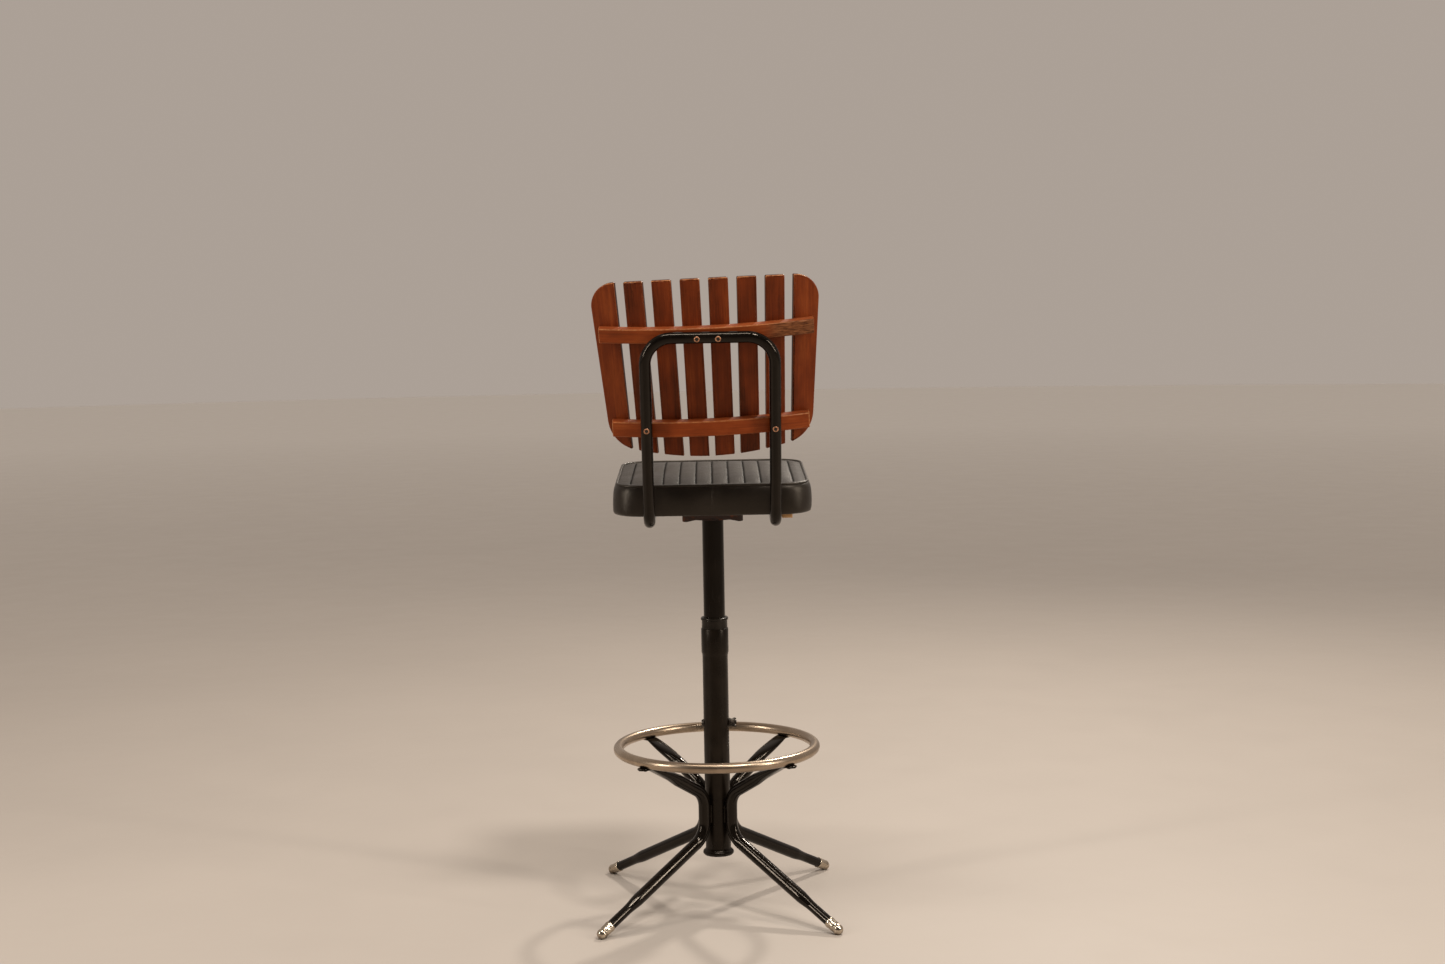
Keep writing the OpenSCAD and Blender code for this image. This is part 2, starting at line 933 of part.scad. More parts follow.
function half_outline() =
    let (c = [low_corner_x(), low_corner_z()])
    let (arc_centre = [0, panel_low_z + low_arc_r])
    let (meet = atan2(c[1] - arc_centre[1], c[0]))
    concat(
        [for (i = [0:5]) [i * 27, panel_top_z]],
        arc([panel_side_x - top_corner_r, panel_top_z - top_corner_r], top_corner_r, 90, 0, 10),
        [[panel_side_x, panel_side_z]],
        arc(c, low_corner_r, -side_taper, meet, 12),
        [for (i = [1:8]) arc_centre + low_arc_r * [cos(meet + (-90 - meet) * i / 8),
            sin(meet + (-90 - meet) * i / 8)]]);

module panel_outline() {
    half = [for (p = half_outline()) panel_point(p)];
    polygon(half);
    mirror([1, 0])
        polygon(half);
    square([1, 300], center = true);
}

module slat(number) {
    place = number - (slat_count + 1) / 2;
    outer = abs(place) > slat_count / 2 - 1;
    side = sign(place);
    z_mid = (panel_top_z + panel_low_z) / 2;
    length = (panel_top_z - panel_low_z) / cos(panel_lean);
    x_mid = place * (slat_pitch_top + slat_pitch_low) / 2;
    round_angle = asin(x_mid / slat_seat_r);
    fan = atan(place * (slat_pitch_top - slat_pitch_low) / length);
    w_mid = panel_point([x_mid, z_mid])[1];
    inner_edge = -slat_w / 2;
    outer_edge = slat_w / 2 + (outer ? outer_extra : 0);
    color(stained_wood)
        in_panel()
            intersection() {
                translate([slat_seat_r * sin(round_angle), slat_seat_r * cos(round_angle) - batten_r
                    - batten_t, w_mid])
                    rotate([0, 0, -round_angle])
                        rotate([0, fan, 0])
                            mirror([side > 0 ? 0 : 1, 0, 0])
                                translate([0, 0, -length])
                                    linear_extrude(2 * length)
                                        slat_section(inner_edge, outer_edge);
                rotate([90, 0, 0])
                    linear_extrude(120)
                        panel_outline();
            }
}

// Cross section of a slat with eased arrises, its back on the line y = 0
module slat_section(x0, x1) {
    ease = 1.6;
    translate([x0, ease - slat_t])
        square([x1 - x0, slat_t - 2 * ease]);
    translate([x0 + ease, -slat_t])
        square([x1 - x0 - 2 * ease, slat_t]);
    for (x = [x0 + ease, x1 - ease], y = [-ease, ease - slat_t]) {
        translate([x, y])
            circle(ease);
    }
}

module slat_nails() {
    color(copper)
        in_panel()
            for (place = [-3.5:3.5], b = [upper_batten, lower_batten], dz = [-6, 6]) {
                rise = (b[2] - lower_batten[2]) / (upper_batten[2] - lower_batten[2]);
                x = place * (slat_pitch_low + 1 + (slat_pitch_top - slat_pitch_low - 2) * rise);
                a = asin(x / slat_seat_r);
                translate([slat_seat_r * sin(a), slat_seat_r * cos(a) - batten_r - batten_t,
                    b[2] + dz])
                    rotate([90, 0, -a]) {
                        translate([0, 0, -14])
                            cylinder(h = 14 + slat_t, r = 1.1, $fn = 16);
                        translate([0, 0, slat_t - 0.6])
                            cylinder(h = 1, r = 2.4, $fn = 24);
                    }
            }
}

column_tube();
column_plug();
top_bushing();
lock_bolt();
lock_washer();
wing_nut();
leg(1);  // leg_1
leg(2);  // leg_2
leg(3);  // leg_3
leg(4);  // leg_4
leg_welds();
foot_cap(1);  // foot_cap_1
foot_cap(2);  // foot_cap_2
foot_cap(3);  // foot_cap_3
foot_cap(4);  // foot_cap_4
foot_ring();
ring_screws();
post_tube();
post_guide();
swivel_lower_plate();
swivel_balls();
ball_cage();
swivel_upper_plate();
king_bolt();
king_nut();
tilt_wedge();
seat_pan();
pan_bolts();
tee_nuts();
seat_board();
seat_foam();
seat_cover();
seat_welt();
seat_cleat();
back_frame();
frame_plugs();
frame_screws();
back_screws();
cup_washers();
batten(upper_batten);  // batten_upper
batten(lower_batten);  // batten_lower
slat_nails();
slat(1);  // slat_1
slat(2);  // slat_2
slat(3);  // slat_3
slat(4);  // slat_4
slat(5);  // slat_5
slat(6);  // slat_6
slat(7);  // slat_7
slat(8);  // slat_8
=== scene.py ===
"""Looks of the drafting chair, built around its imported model. All lengths are in metres."""
from math import (asin, atan, atan2, ceil, copysign, cos, degrees, exp, hypot,
                  pi, radians, sin, sqrt, tan, tanh)

import bmesh
import bpy
from mathutils import Matrix, Vector, kdtree, noise


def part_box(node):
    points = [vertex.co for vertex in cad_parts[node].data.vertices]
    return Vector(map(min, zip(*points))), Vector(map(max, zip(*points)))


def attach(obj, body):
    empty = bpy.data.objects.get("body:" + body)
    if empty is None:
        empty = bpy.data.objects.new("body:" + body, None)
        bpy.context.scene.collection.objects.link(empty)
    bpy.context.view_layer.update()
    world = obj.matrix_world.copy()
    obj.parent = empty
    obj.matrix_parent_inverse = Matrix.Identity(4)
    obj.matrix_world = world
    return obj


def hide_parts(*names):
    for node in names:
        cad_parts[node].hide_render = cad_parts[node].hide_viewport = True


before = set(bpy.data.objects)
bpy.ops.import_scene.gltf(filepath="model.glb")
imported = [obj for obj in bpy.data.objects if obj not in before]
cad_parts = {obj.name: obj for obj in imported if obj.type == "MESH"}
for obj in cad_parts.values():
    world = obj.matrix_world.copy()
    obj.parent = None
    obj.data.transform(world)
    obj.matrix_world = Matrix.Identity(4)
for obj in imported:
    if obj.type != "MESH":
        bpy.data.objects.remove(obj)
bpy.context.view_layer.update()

MM = 0.001

# Camera: its place, how far it turns from looking along +Y, its tilt down and its roll
CAMERA_PLACE = (0, 3.83, 1.143)
CAMERA_TURN = radians(179.7)
CAMERA_DOWN = radians(4.8)
CAMERA_ROLL = radians(-1)
LENS_MM = 50
CHEST = (0, 0, 0.8)

# Seat: its own frame has its origin under the middle of the board and rises towards the front
SEAT_Z = 786 * MM
SEAT_TILT = radians(3.1)
CUSHION_H = 54 * MM
SEAM_HALF = 176 * MM
SEAM_CORNER = 50 * MM
SEAM_STRAIGHT = SEAM_HALF - SEAM_CORNER
WELT_R = 2.6 * MM
CHANNEL_PITCH = 30 * MM
CHANNEL_COUNT = 11
CHANNEL_INSET = 11 * MM
CHANNEL_FADE = 13 * MM
VALLEY_DEPTH = 1.1 * MM
VALLEY_HALF_W = 1.6 * MM
PUFF = 1.1 * MM
GATHER_DEPTH = 0.9 * MM
SAG_DEPTH = 1.1 * MM

# Legs, in an upright plane through the column's axis: first value outward, second up
LEG_R = 11.75 * MM
LEG_TIP_R = 9.25 * MM
CAP_CENTRE = (307 * MM, 9 * MM)
LOW_CORNER = (36.25 * MM, 139.5 * MM)
HIGH_CORNER = (36.25 * MM, 220 * MM)
ARM_MIDDLE = (124 * MM, 270.5 * MM)
ARM_START = 106 * MM
PRESSED_OUT = 2.4 * MM
TAB_START = 182 * MM
TAB_MIDDLE = 192.5 * MM
TAB_HALF_W = 13 * MM
TAB_HALF_T = 2 * MM
TAB_Z = 297.05 * MM
LOW_BEND = 45 * MM
HIGH_BEND = 40 * MM
ARM_BEND = 120 * MM
TAB_BEND = 10 * MM
SLIM_LENGTH = 70 * MM
SWAGE_LENGTH = 34 * MM

# Back frame
FRAME_R = 10.5 * MM
FRAME_HALF = 115 * MM
FRAME_TOP_Z = 1101.5 * MM
FRAME_LEAN = radians(16.5)
FRAME_REF = (213 * MM, 810 * MM)
ARM_DROP = 11.6 * MM
HOOK_START = 20 * MM
LOW_FRAME_BEND = 26 * MM
TOP_FRAME_BEND = 49 * MM

# Backrest: its own frame has x across, y out of the back and z up the lean
PANEL_LEAN = radians(12.7)
PANEL_SKEW = radians(1.8)
BATTEN_R = 580 * MM
BATTEN_T = 24 * MM
UPPER_BATTEN = (383 * MM, 26 * MM, 4 * MM)
LOWER_BATTEN = (355 * MM, 28 * MM, -167.6 * MM)
SLAT_W = 35 * MM
SLAT_T = 9.5 * MM
SLAT_COUNT = 8
SLAT_PITCH_TOP = 50.5 * MM
SLAT_PITCH_LOW = 46 * MM
OUTER_EXTRA = 14 * MM
PANEL_TOP_Z = 1205 * MM
PANEL_LOW_Z = 887 * MM
PANEL_SIDE = (203.5 * MM, 1120 * MM)
SIDE_TAPER = radians(6)
TOP_CORNER = 40 * MM
LOW_CORNER_R = 60 * MM
LOW_ARC = 577 * MM


# ---- Camera, light and floor ----

def new_object(name, data):
    made = bpy.data.objects.new(name, data)
    bpy.context.scene.collection.objects.link(made)
    return made


def add_camera():
    data = bpy.data.cameras.new("camera")
    data.lens = LENS_MM
    data.clip_end = 60
    camera = new_object("camera", data)
    camera.location = CAMERA_PLACE
    turned = Matrix.Rotation(CAMERA_TURN, 4, "Z")
    pitched = Matrix.Rotation(pi / 2 - CAMERA_DOWN, 4, "X")
    rolled = Matrix.Rotation(CAMERA_ROLL, 4, "Z")
    camera.rotation_euler = (turned @ pitched @ rolled).to_euler()
    bpy.context.scene.camera = camera


def add_lamp(name, kind, direction, power, colour):
    data = bpy.data.lights.new(name, kind)
    data.energy = power
    data.color = colour
    lamp = new_object(name, data)
    lamp.rotation_euler = Vector(direction).to_track_quat("-Z", "Y").to_euler()
    return lamp


def add_soft_box(name, place, size, power, colour, target=CHEST):
    lamp = add_lamp(name, "AREA", Vector(target) - Vector(place), power, colour)
    lamp.location = place
    lamp.data.shape = "RECTANGLE"
    lamp.data.size, lamp.data.size_y = size


def add_world():
    """Pale studio, brightest in front of the sitter and dimmer behind the backrest."""
    world = bpy.data.worlds.new("studio")
    bpy.context.scene.world = world
    world.use_nodes = True
    tree = world.node_tree
    background = tree.nodes["Background"]
    background.inputs["Color"].default_value = (1, 0.86, 0.75, 1)
    direction = tree.nodes.new("ShaderNodeTexCoord")
    split = tree.nodes.new("ShaderNodeSeparateXYZ")
    fade = tree.nodes.new("ShaderNodeMapRange")
    fade.interpolation_type = "SMOOTHSTEP"
    for socket, value in enumerate((-0.75, 0.9, 0.41, 0.085), 1):
        fade.inputs[socket].default_value = value
    tree.links.new(direction.outputs["Generated"], split.inputs[0])
    tree.links.new(split.outputs[1], fade.inputs[0])
    tree.links.new(fade.outputs[0], background.inputs["Strength"])


def add_light():
    add_world()
    bpy.context.scene.view_settings.view_transform = "Standard"
    sun = add_lamp("sun", "SUN", (0.4, -0.5, -1), 1.4, (1, 0.94, 0.87))
    sun.data.angle = radians(10)
    add_soft_box("right_box", (-2.9, 1.6, 1.9), (0.2, 1.9), 48, (1, 0.92, 0.82))
    add_soft_box("left_box", (2.9, 1.5, 1.7), (0.2, 1.9), 40, (1, 0.93, 0.85))
    add_soft_box("top_box", (0.3, 0.9, 3.1), (1.5, 0.2), 28, (1, 0.95, 0.88))
    add_soft_box("front_box", (-1.3, -2.6, 3.2), (0.3, 0.3), 80, (1, 0.92, 0.82), (0, 0.2, 1.1))


# ---- Material tools ----

class Surface:
    """A material being built: one Principled shader and short calls for the nodes around it."""

    def __init__(self, name, **sockets):
        self.material = bpy.data.materials.new(name)
        self.material.use_nodes = True
        self.tree = self.material.node_tree
        self.shader = self.tree.nodes["Principled BSDF"]
        for socket, value in sockets.items():
            self.shader.inputs[socket.replace("_", " ")].default_value = value

    def node(self, kind, inputs=(), **settings):
        made = self.tree.nodes.new("ShaderNode" + kind)
        for key, value in settings.items():
            setattr(made, key, value)
        for socket, value in dict(inputs).items():
            if isinstance(value, bpy.types.NodeSocket):
                self.tree.links.new(value, made.inputs[socket])
            else:
                made.inputs[socket].default_value = value
        return made

    def to(self, socket, value):
        self.tree.links.new(value, self.shader.inputs[socket])

    def place(self, stretch=(1, 1, 1), field=None):
        """Coordinates in metres, of the object or of a field stored on its points."""
        if field:
            source = self.node("Attribute", attribute_name=field).outputs["Vector"]
        else:
            source = self.node("TexCoord").outputs["Object"]
        return self.node("Mapping", {"Vector": source, "Scale": stretch}).outputs[0]

    def field(self, name):
        return self.node("Attribute", attribute_name=name).outputs["Fac"]

    def noise(self, place, scale, detail=3.0, rough=0.55, twist=0.0):
        inputs = {"Vector": place, "Scale": scale, "Detail": detail, "Roughness": rough, "Distortion": twist}
        return self.node("TexNoise", inputs).outputs[0]

    def streaks(self, stretch, detail=3, rough=0.55, twist=0.0, field=None):
        """Noise with its own scale along each axis."""
        return self.noise(self.place(stretch, field), 1.0, detail, rough, twist)

    def cells(self, place, scale):
        """Distance to the edge of the nearest cell."""
        inputs = {"Vector": place, "Scale": scale}
        return self.node("TexVoronoi", inputs, feature="DISTANCE_TO_EDGE").outputs[0]

    def fit(self, value, low, high, to_low=0.0, to_high=1.0):
        """Maps low..high of a value to to_low..to_high, held at both ends."""
        inputs = {0: value, 1: low, 2: high, 3: to_low, 4: to_high}
        return self.node("MapRange", inputs).outputs[0]

    def sum(self, a, b, operation="ADD"):
        return self.node("Math", {0: a, 1: b}, operation=operation).outputs[0]

    def times(self, a, b):
        return self.sum(a, b, "MULTIPLY")

    def colours(self, value, *stops):
        """Colour ramp of (position, colour) stops."""
        ramp = self.node("ValToRGB", {0: value})
        elements = ramp.color_ramp.elements
        while len(elements) < len(stops):
            elements.new(0.5)
        for element, (position, colour) in zip(elements, stops):
            element.position = position
            element.color = (*colour, 1)
        return ramp.outputs[0]

    def mix(self, share, a, b):
        made = self.node("Mix", {0: share}, data_type="RGBA")
        for index, value in ((6, a), (7, b)):
            if isinstance(value, bpy.types.NodeSocket):
                self.tree.links.new(value, made.inputs[index])
            else:
                made.inputs[index].default_value = (*value, 1)
        return made.outputs[2]

    def bump(self, *layers):
        """Chains bumps. Each layer is (height value, distance in metres)."""
        normal = None
        for height, distance in layers:
            inputs = {"Height": height, "Distance": distance, "Strength": 1.0}
            if normal:
                inputs["Normal"] = normal
            normal = self.node("Bump", inputs).outputs[0]
        self.to("Normal", normal)


# ---- Materials ----

def enamel(name, base, dusty, rough_low, rough_high, shine):
    """Black stove enamel: gloss broken by handling, faint orange peel, dust and thin scratches."""
    # The warm specular tint is a painted reflection: it gives the enamel's reflections a warm brown cast.
    s = Surface(name, IOR=1.5, Specular_IOR_Level=shine, Specular_Tint=(1, 0.86, 0.72, 1))
    place = s.place()
    cloudy = s.noise(place, 26, 5)
    scratches = s.fit(s.streaks((900, 900, 22), 2, 0.7), 0.64, 0.72)
    tone = s.mix(s.fit(cloudy, 0.45, 0.75), base, dusty)
    s.to("Base Color", s.mix(s.times(scratches, 0.3), tone, (0.04, 0.033, 0.027)))
    rough = s.fit(cloudy, 0.35, 0.7, rough_low, rough_high)
    s.to("Roughness", s.sum(rough, s.times(scratches, 0.18)))
    s.bump((s.noise(place, 420, 2), 0.00006), (scratches, 0.00002))
    return s.material


def satin_ring():
    """Worn satin nickel, rubbed along the ring, with brown tarnish where shoes don't reach."""
    s = Surface("satin_ring", Metallic=1.0, Specular_IOR_Level=0.5)
    lines = s.streaks((14, 1500, 1500), 3, 0.65, field="along")
    blotches = s.streaks((9, 30, 30), 5, 0.6, field="along")
    spots = s.fit(s.streaks((260, 260, 260), 3, 0.6, field="along"), 0.62, 0.74)
    tarnish, dull, rubbed = (0.24, 0.175, 0.12), (0.42, 0.325, 0.235), (0.6, 0.49, 0.375)
    worn = s.colours(blotches, (0.3, tarnish), (0.52, dull), (0.72, rubbed))
    streaked = s.mix(s.fit(lines, 0.35, 0.7, 0, 0.4), worn, (0.36, 0.29, 0.23))
    s.to("Base Color", s.mix(s.times(spots, 0.5), streaked, (0.16, 0.1, 0.065)))
    rough = s.sum(s.fit(blotches, 0.3, 0.75, 0.3, 0.17), s.times(lines, 0.1))
    s.to("Roughness", s.sum(rough, s.times(spots, 0.2)))
    s.bump((lines, 0.00003), (spots, 0.00002))
    return s.material


def bright_cap():
    """Thin nickel plate with pits and grime near the floor."""
    s = Surface("bright_cap", Metallic=1.0)
    place = s.place()
    pits = s.fit(s.cells(place, 420), 0.02, 0.12, 1, 0)
    cloudy = s.noise(place, 90, 4)
    height = s.node("SeparateXYZ", {0: place}).outputs[2]
    grime = s.times(s.fit(height, 0.002, 0.013, 1, 0), s.fit(cloudy, 0.35, 0.6))
    metal = s.mix(s.fit(cloudy, 0.35, 0.75), (0.58, 0.5, 0.4), (0.4, 0.33, 0.25))
    s.to("Base Color", s.mix(grime, metal, (0.15, 0.11, 0.08)))
    s.to("Roughness", s.sum(s.fit(cloudy, 0.3, 0.8, 0.16, 0.32), s.times(grime, 0.3)))
    s.bump((s.times(pits, s.fit(cloudy, 0.5, 0.6)), 0.00003), (s.noise(place, 300, 3), 0.00001))
    return s.material


def metal(name, light, dark, rough, scale):
    """Plain worn metal with darker oxide in patches and a fine tooth."""
    s = Surface(name, Metallic=1.0)
    place = s.place()
    patches = s.noise(place, scale, 5, 0.65)
    s.to("Base Color", s.mix(s.fit(patches, 0.38, 0.66), light, dark))
    s.to("Roughness", s.fit(patches, 0.3, 0.75, rough, rough + 0.25))
    s.bump((s.noise(place, scale * 9, 3), 0.00004))
    return s.material


def pressed_plate():
    """Thin brown-black paint over pressed steel, rusting through in patches."""
    s = Surface("pressed_plate", IOR=1.45)
    place = s.place()
    patches = s.noise(place, 70, 6, 0.65)
    paint = s.mix(s.noise(place, 25, 3), (0.016, 0.009, 0.007), (0.045, 0.02, 0.013))
    s.to("Base Color", s.mix(s.fit(patches, 0.55, 0.68), paint, (0.12, 0.04, 0.018)))
    s.to("Roughness", s.fit(patches, 0.4, 0.7, 0.48, 0.85))
    s.bump((patches, 0.0002), (s.noise(place, 700, 2), 0.00005))
    return s.material


def black_plastic():
    """Moulded plastic, rubbed pale on parts of its surface."""
    s = Surface("black_plastic", IOR=1.48, Specular_IOR_Level=0.28, Specular_Tint=(1, 0.88, 0.76, 1))
    place = s.place()
    rubbed = s.noise(place, 60, 5)
    tone = s.mix(s.fit(rubbed, 0.45, 0.8), (0.006, 0.0048, 0.0038), (0.018, 0.0145, 0.0115))
    s.to("Base Color", tone)
    s.to("Roughness", s.fit(rubbed, 0.3, 0.75, 0.22, 0.42))
    s.bump((s.noise(place, 900, 2), 0.00004))
    return s.material


def vinyl():
    """Black upholstery vinyl: pebbled grain, soft creases, a dusty cast with painted sheen on high parts, and
    painted shade in the stitched valleys.
    """
    # The warm specular tint is a painted reflection: it gives the vinyl's reflections a warm cast.
    s = Surface("vinyl", IOR=1.5, Specular_Tint=(1, 0.88, 0.74, 1))
    place = s.place()
    pebbles = s.cells(place, 820)
    creases = s.streaks((60, 130, 60), 4, 0.6, 0.6)
    dust = s.noise(place, 15, 5, 0.6)
    groove_shade = s.field("groove_shade")
    tone = s.mix(s.fit(dust, 0.35, 0.75), (0.006, 0.004, 0.003), (0.015, 0.011, 0.008))
    # High parts are painted paler: partly dust, partly painted highlight and sheen.
    tone = s.mix(s.times(s.field("dust_and_sheen"), s.fit(dust, 0.2, 0.7, 0.1, 0.5)), tone, (0.035, 0.028, 0.022))
    # Painted shade: the stitched valleys are painted near black, and made rough and dull so they catch no
    # highlight.
    s.to("Base Color", s.mix(groove_shade, tone, (0.0025, 0.0018, 0.0014)))
    s.to("Roughness", s.sum(s.fit(dust, 0.3, 0.75, 0.3, 0.46), s.times(groove_shade, 0.5)))
    s.to("Specular IOR Level", s.fit(groove_shade, 0, 1, 0.4, 0.02))
    s.bump((s.fit(pebbles, 0, 0.35), 0.00007), (creases, 0.0003))
    return s.material


def thread():
    """Dull black thread with a twisted ply."""
    s = Surface("thread", IOR=1.4, Specular_IOR_Level=0.1)
    ply = s.noise(s.place(), 1400, 2)
    s.to("Base Color", s.mix(ply, (0.004, 0.003, 0.002), (0.014, 0.011, 0.008)))
    s.to("Roughness", s.fit(ply, 0.3, 0.7, 0.75, 0.95))
    s.bump((ply, 0.0001))
    return s.material


def stained_wood(name, dark, middle, light):
    """Open-grained wood under red-brown stain. The grain runs along the third axis of its field;
    worn edges show paler wood, and sawn faces are dull and rough."""
    s = Surface(name, IOR=1.45, Specular_IOR_Level=0.25, Specular_Tint=(1, 0.7, 0.45, 1),
                Coat_Weight=0.08, Coat_Roughness=0.2)
    figure = s.streaks((70, 70, 3.2), 4, 0.6, 0.9, field="grain")
    lines = s.streaks((420, 420, 9), 3, 0.6, field="grain")
    pores = s.streaks((1100, 1100, 34), 3, 0.6, field="grain")
    patches = s.streaks((26, 26, 11), 4, 0.6, field="grain")
    depth = s.sum(s.fit(figure, 0.3, 0.7, 0.26, 0.56), s.fit(patches, 0.3, 0.7, -0.2, 0.2))
    depth = s.sum(depth, s.sum(s.field("tone"), s.fit(lines, 0.3, 0.7, -0.1, 0.12)))
    stain = s.colours(depth, (0.0, dark), (0.45, middle), (0.95, light))
    open_pores = s.fit(pores, 0.54, 0.7)
    stain = s.mix(s.times(open_pores, 0.4), stain, dark)
    flecks = s.fit(s.streaks((85, 85, 30), 4, 0.65, 0.5, field="grain"), 0.66, 0.74)
    scratches = s.fit(s.streaks((24, 24, 1500), 2, 0.5, field="grain"), 0.71, 0.76)
    stain = s.mix(s.times(s.sum(flecks, scratches, "MAXIMUM"), 0.35), stain, light)
    chips = s.noise(s.place(field="grain"), 170, 4, 0.7)
    edge = s.times(s.field("edge"), s.fit(chips, 0.42, 0.62, 0.15, 1))
    worn = s.mix(edge, stain, (0.46, 0.2, 0.075))
    sawn = s.field("sawn")
    teeth = s.streaks((340, 340, 60), 3, 0.7, field="grain")
    fibres = s.mix(s.fit(teeth, 0.38, 0.62), (0.07, 0.02, 0.007), (0.24, 0.085, 0.032))
    s.to("Base Color", s.mix(sawn, worn, fibres))
    gloss = s.sum(s.fit(figure, 0.3, 0.7, 0.36, 0.5), s.times(open_pores, 0.12))
    s.to("Roughness", s.sum(gloss, s.times(s.sum(sawn, edge), 0.25)))
    s.bump((pores, 0.00006), (lines, 0.00006), (s.times(teeth, sawn), 0.0005))
    return s.material


def plain_wood(name, light, dark, stretch):
    """Bare wood or plywood, grain along the most stretched axis."""
    s = Surface(name, IOR=1.45)
    lines = s.streaks(stretch, 4, 0.6, 0.8)
    spots = s.noise(s.place(), 40, 4)
    wood = s.mix(s.fit(lines, 0.3, 0.7), light, dark)
    s.to("Base Color", s.mix(s.fit(spots, 0.6, 0.8, 0, 0.5), wood, (0.2, 0.12, 0.06)))
    s.to("Roughness", s.fit(lines, 0.3, 0.7, 0.6, 0.8))
    s.bump((lines, 0.0002))
    return s.material


def pale_floor():
    s = Surface("pale_floor")
    place = s.place()
    away = s.fit(s.node("VectorMath", {0: place}, operation="LENGTH").outputs["Value"], 3, 16)
    near = s.mix(s.noise(place, 1.3, 3), (0.42, 0.37, 0.325), (0.46, 0.405, 0.355))
    s.to("Base Color", s.mix(away, near, (0.63, 0.58, 0.53)))
    s.to("Roughness", s.fit(s.noise(place, 6, 3), 0.3, 0.7, 0.5, 0.62))
    s.bump((s.noise(place, 180, 3), 0.0001))
    return s.material


# Each finish: the record's material slot, and the material
FINISHES = {
    "column": ("black_paint", enamel("column_enamel", (0.0055, 0.0036, 0.0023), (0.0125, 0.0085, 0.0055),
                                     0.24, 0.38, 0.22)),
    "gloss": ("black_paint", enamel("gloss_enamel", (0.003, 0.0021, 0.0015), (0.0065, 0.0045, 0.0032),
                                    0.06, 0.15, 0.25)),
    "ring": ("satin_ring", satin_ring()),
    "cap": ("bright_cap", bright_cap()),
    "zinc": ("zinc_steel", metal("zinc", (0.42, 0.4, 0.37), (0.16, 0.13, 0.1), 0.34, 160)),
    "dark_steel": ("zinc_steel", metal("dark_steel", (0.075, 0.066, 0.058), (0.03, 0.022, 0.016), 0.34, 160)),
    "copper": ("copper_fitting", metal("copper", (0.68, 0.36, 0.21), (0.3, 0.13, 0.07), 0.3, 300)),
    "plate": ("pressed_plate", pressed_plate()),
    "plastic": ("black_plastic", black_plastic()),
    "vinyl": ("black_vinyl", vinyl()),
    "thread": ("black_vinyl", thread()),
    "slat": ("stained_wood", stained_wood("slat_wood", (0.045, 0.007, 0.002), (0.16, 0.0255, 0.005),
                                          (0.31, 0.066, 0.013))),
    "batten": ("stained_wood", stained_wood("batten_wood", (0.09, 0.0145, 0.0035), (0.23, 0.04, 0.0075),
                                            (0.38, 0.09, 0.02))),
    "bare": ("bare_wood", plain_wood("bare_wood", (0.62, 0.36, 0.16), (0.46, 0.23, 0.09), (260, 9, 260))),
    "plywood": ("plywood", plain_wood("plywood", (0.52, 0.36, 0.2), (0.36, 0.22, 0.11), (9, 170, 170))),
}

# CAD nodes that keep their own shape, by finish
KEPT_NODES = {
    "column": ["leg_welds"],
    "gloss": ["post_tube"],
    "plastic": ["column_plug", "post_guide", "frame_plugs"],
    "dark_steel": ["lock_bolt", "lock_washer", "ring_screws", "frame_screws", "pan_bolts", "king_bolt",
                   "king_nut"],
    "zinc": ["tee_nuts", "swivel_balls"],
    "copper": ["ball_cage", "slat_nails"],
    "plate": ["swivel_lower_plate", "swivel_upper_plate", "tilt_wedge", "seat_pan"],
    "plywood": ["seat_board"],
}


def paint(thing, finish):
    slot, material = FINISHES[finish]
    thing.data.materials.clear()
    thing.data.materials.append(material)


def paint_kept_nodes():
    for finish, names in KEPT_NODES.items():
        for name in names:
            paint(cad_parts[name], finish)


# ---- Mesh tools ----

CAPPED = (True, True)
OPEN = (False, False)


class Shape:
    """Points and faces gathered ring by ring. Each point may carry values for its material."""

    def __init__(self, rings=(), ends=CAPPED):
        self.points = []
        self.faces = []
        self.fields = {}
        if rings:
            self.rings(rings, ends)

    def ring(self, points, **fields):
        start = len(self.points)
        self.points.extend(points)
        for name, values in fields.items():
            known = self.fields.setdefault(name, [])
            known.extend([known[0] * 0 if known else 0.0] * (start - len(known)))
            known.extend(values if isinstance(values, list) else [values] * len(points))
        return range(start, len(self.points))

    def skin(self, a, b):
        """Quads between two closed rings of equal length."""
        count = len(a)
        for i in range(count):
            j = (i + 1) % count
            self.faces.append((a[i], a[j], b[j], b[i]))

    def skin_all(self, made, ends=OPEN):
        for a, b in zip(made, made[1:]):
            self.skin(a, b)
        if ends[0]:
            self.faces.append(tuple(reversed(made[0])))
        if ends[1]:
            self.faces.append(tuple(made[-1]))

    def rings(self, rings, ends=CAPPED):
        self.skin_all([self.ring(r) for r in rings], ends)


def new_mesh(name, shape):
    mesh = bpy.data.meshes.new(name)
    mesh.from_pydata([tuple(p) for p in shape.points], [], shape.faces)
    return mesh


def add_piece(name, shape, body, finish, stands_for=()):
    mesh = new_mesh(name, shape)
    work = bmesh.new()
    work.from_mesh(mesh)
    bmesh.ops.recalc_face_normals(work, faces=work.faces)
    work.to_mesh(mesh)
    work.free()
    mesh.polygons.foreach_set("use_smooth", [True] * len(mesh.polygons))
    for field, values in shape.fields.items():
        if isinstance(values[0], Vector):
            stored = mesh.attributes.new(field, "FLOAT_VECTOR", "POINT")
            stored.data.foreach_set("vector", [c for v in values for c in v])
        else:
            stored = mesh.attributes.new(field, "FLOAT", "POINT")
            stored.data.foreach_set("value", values)
    piece = new_object(name, mesh)
    paint(piece, finish)
    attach(piece, body)
    if stands_for:
        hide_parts(*stands_for)
    return piece


def ripple(x, y, z):
    """Smooth unevenness from -1 to 1, the same at the same place in every run."""
    return noise.noise(Vector((x, y, z)))


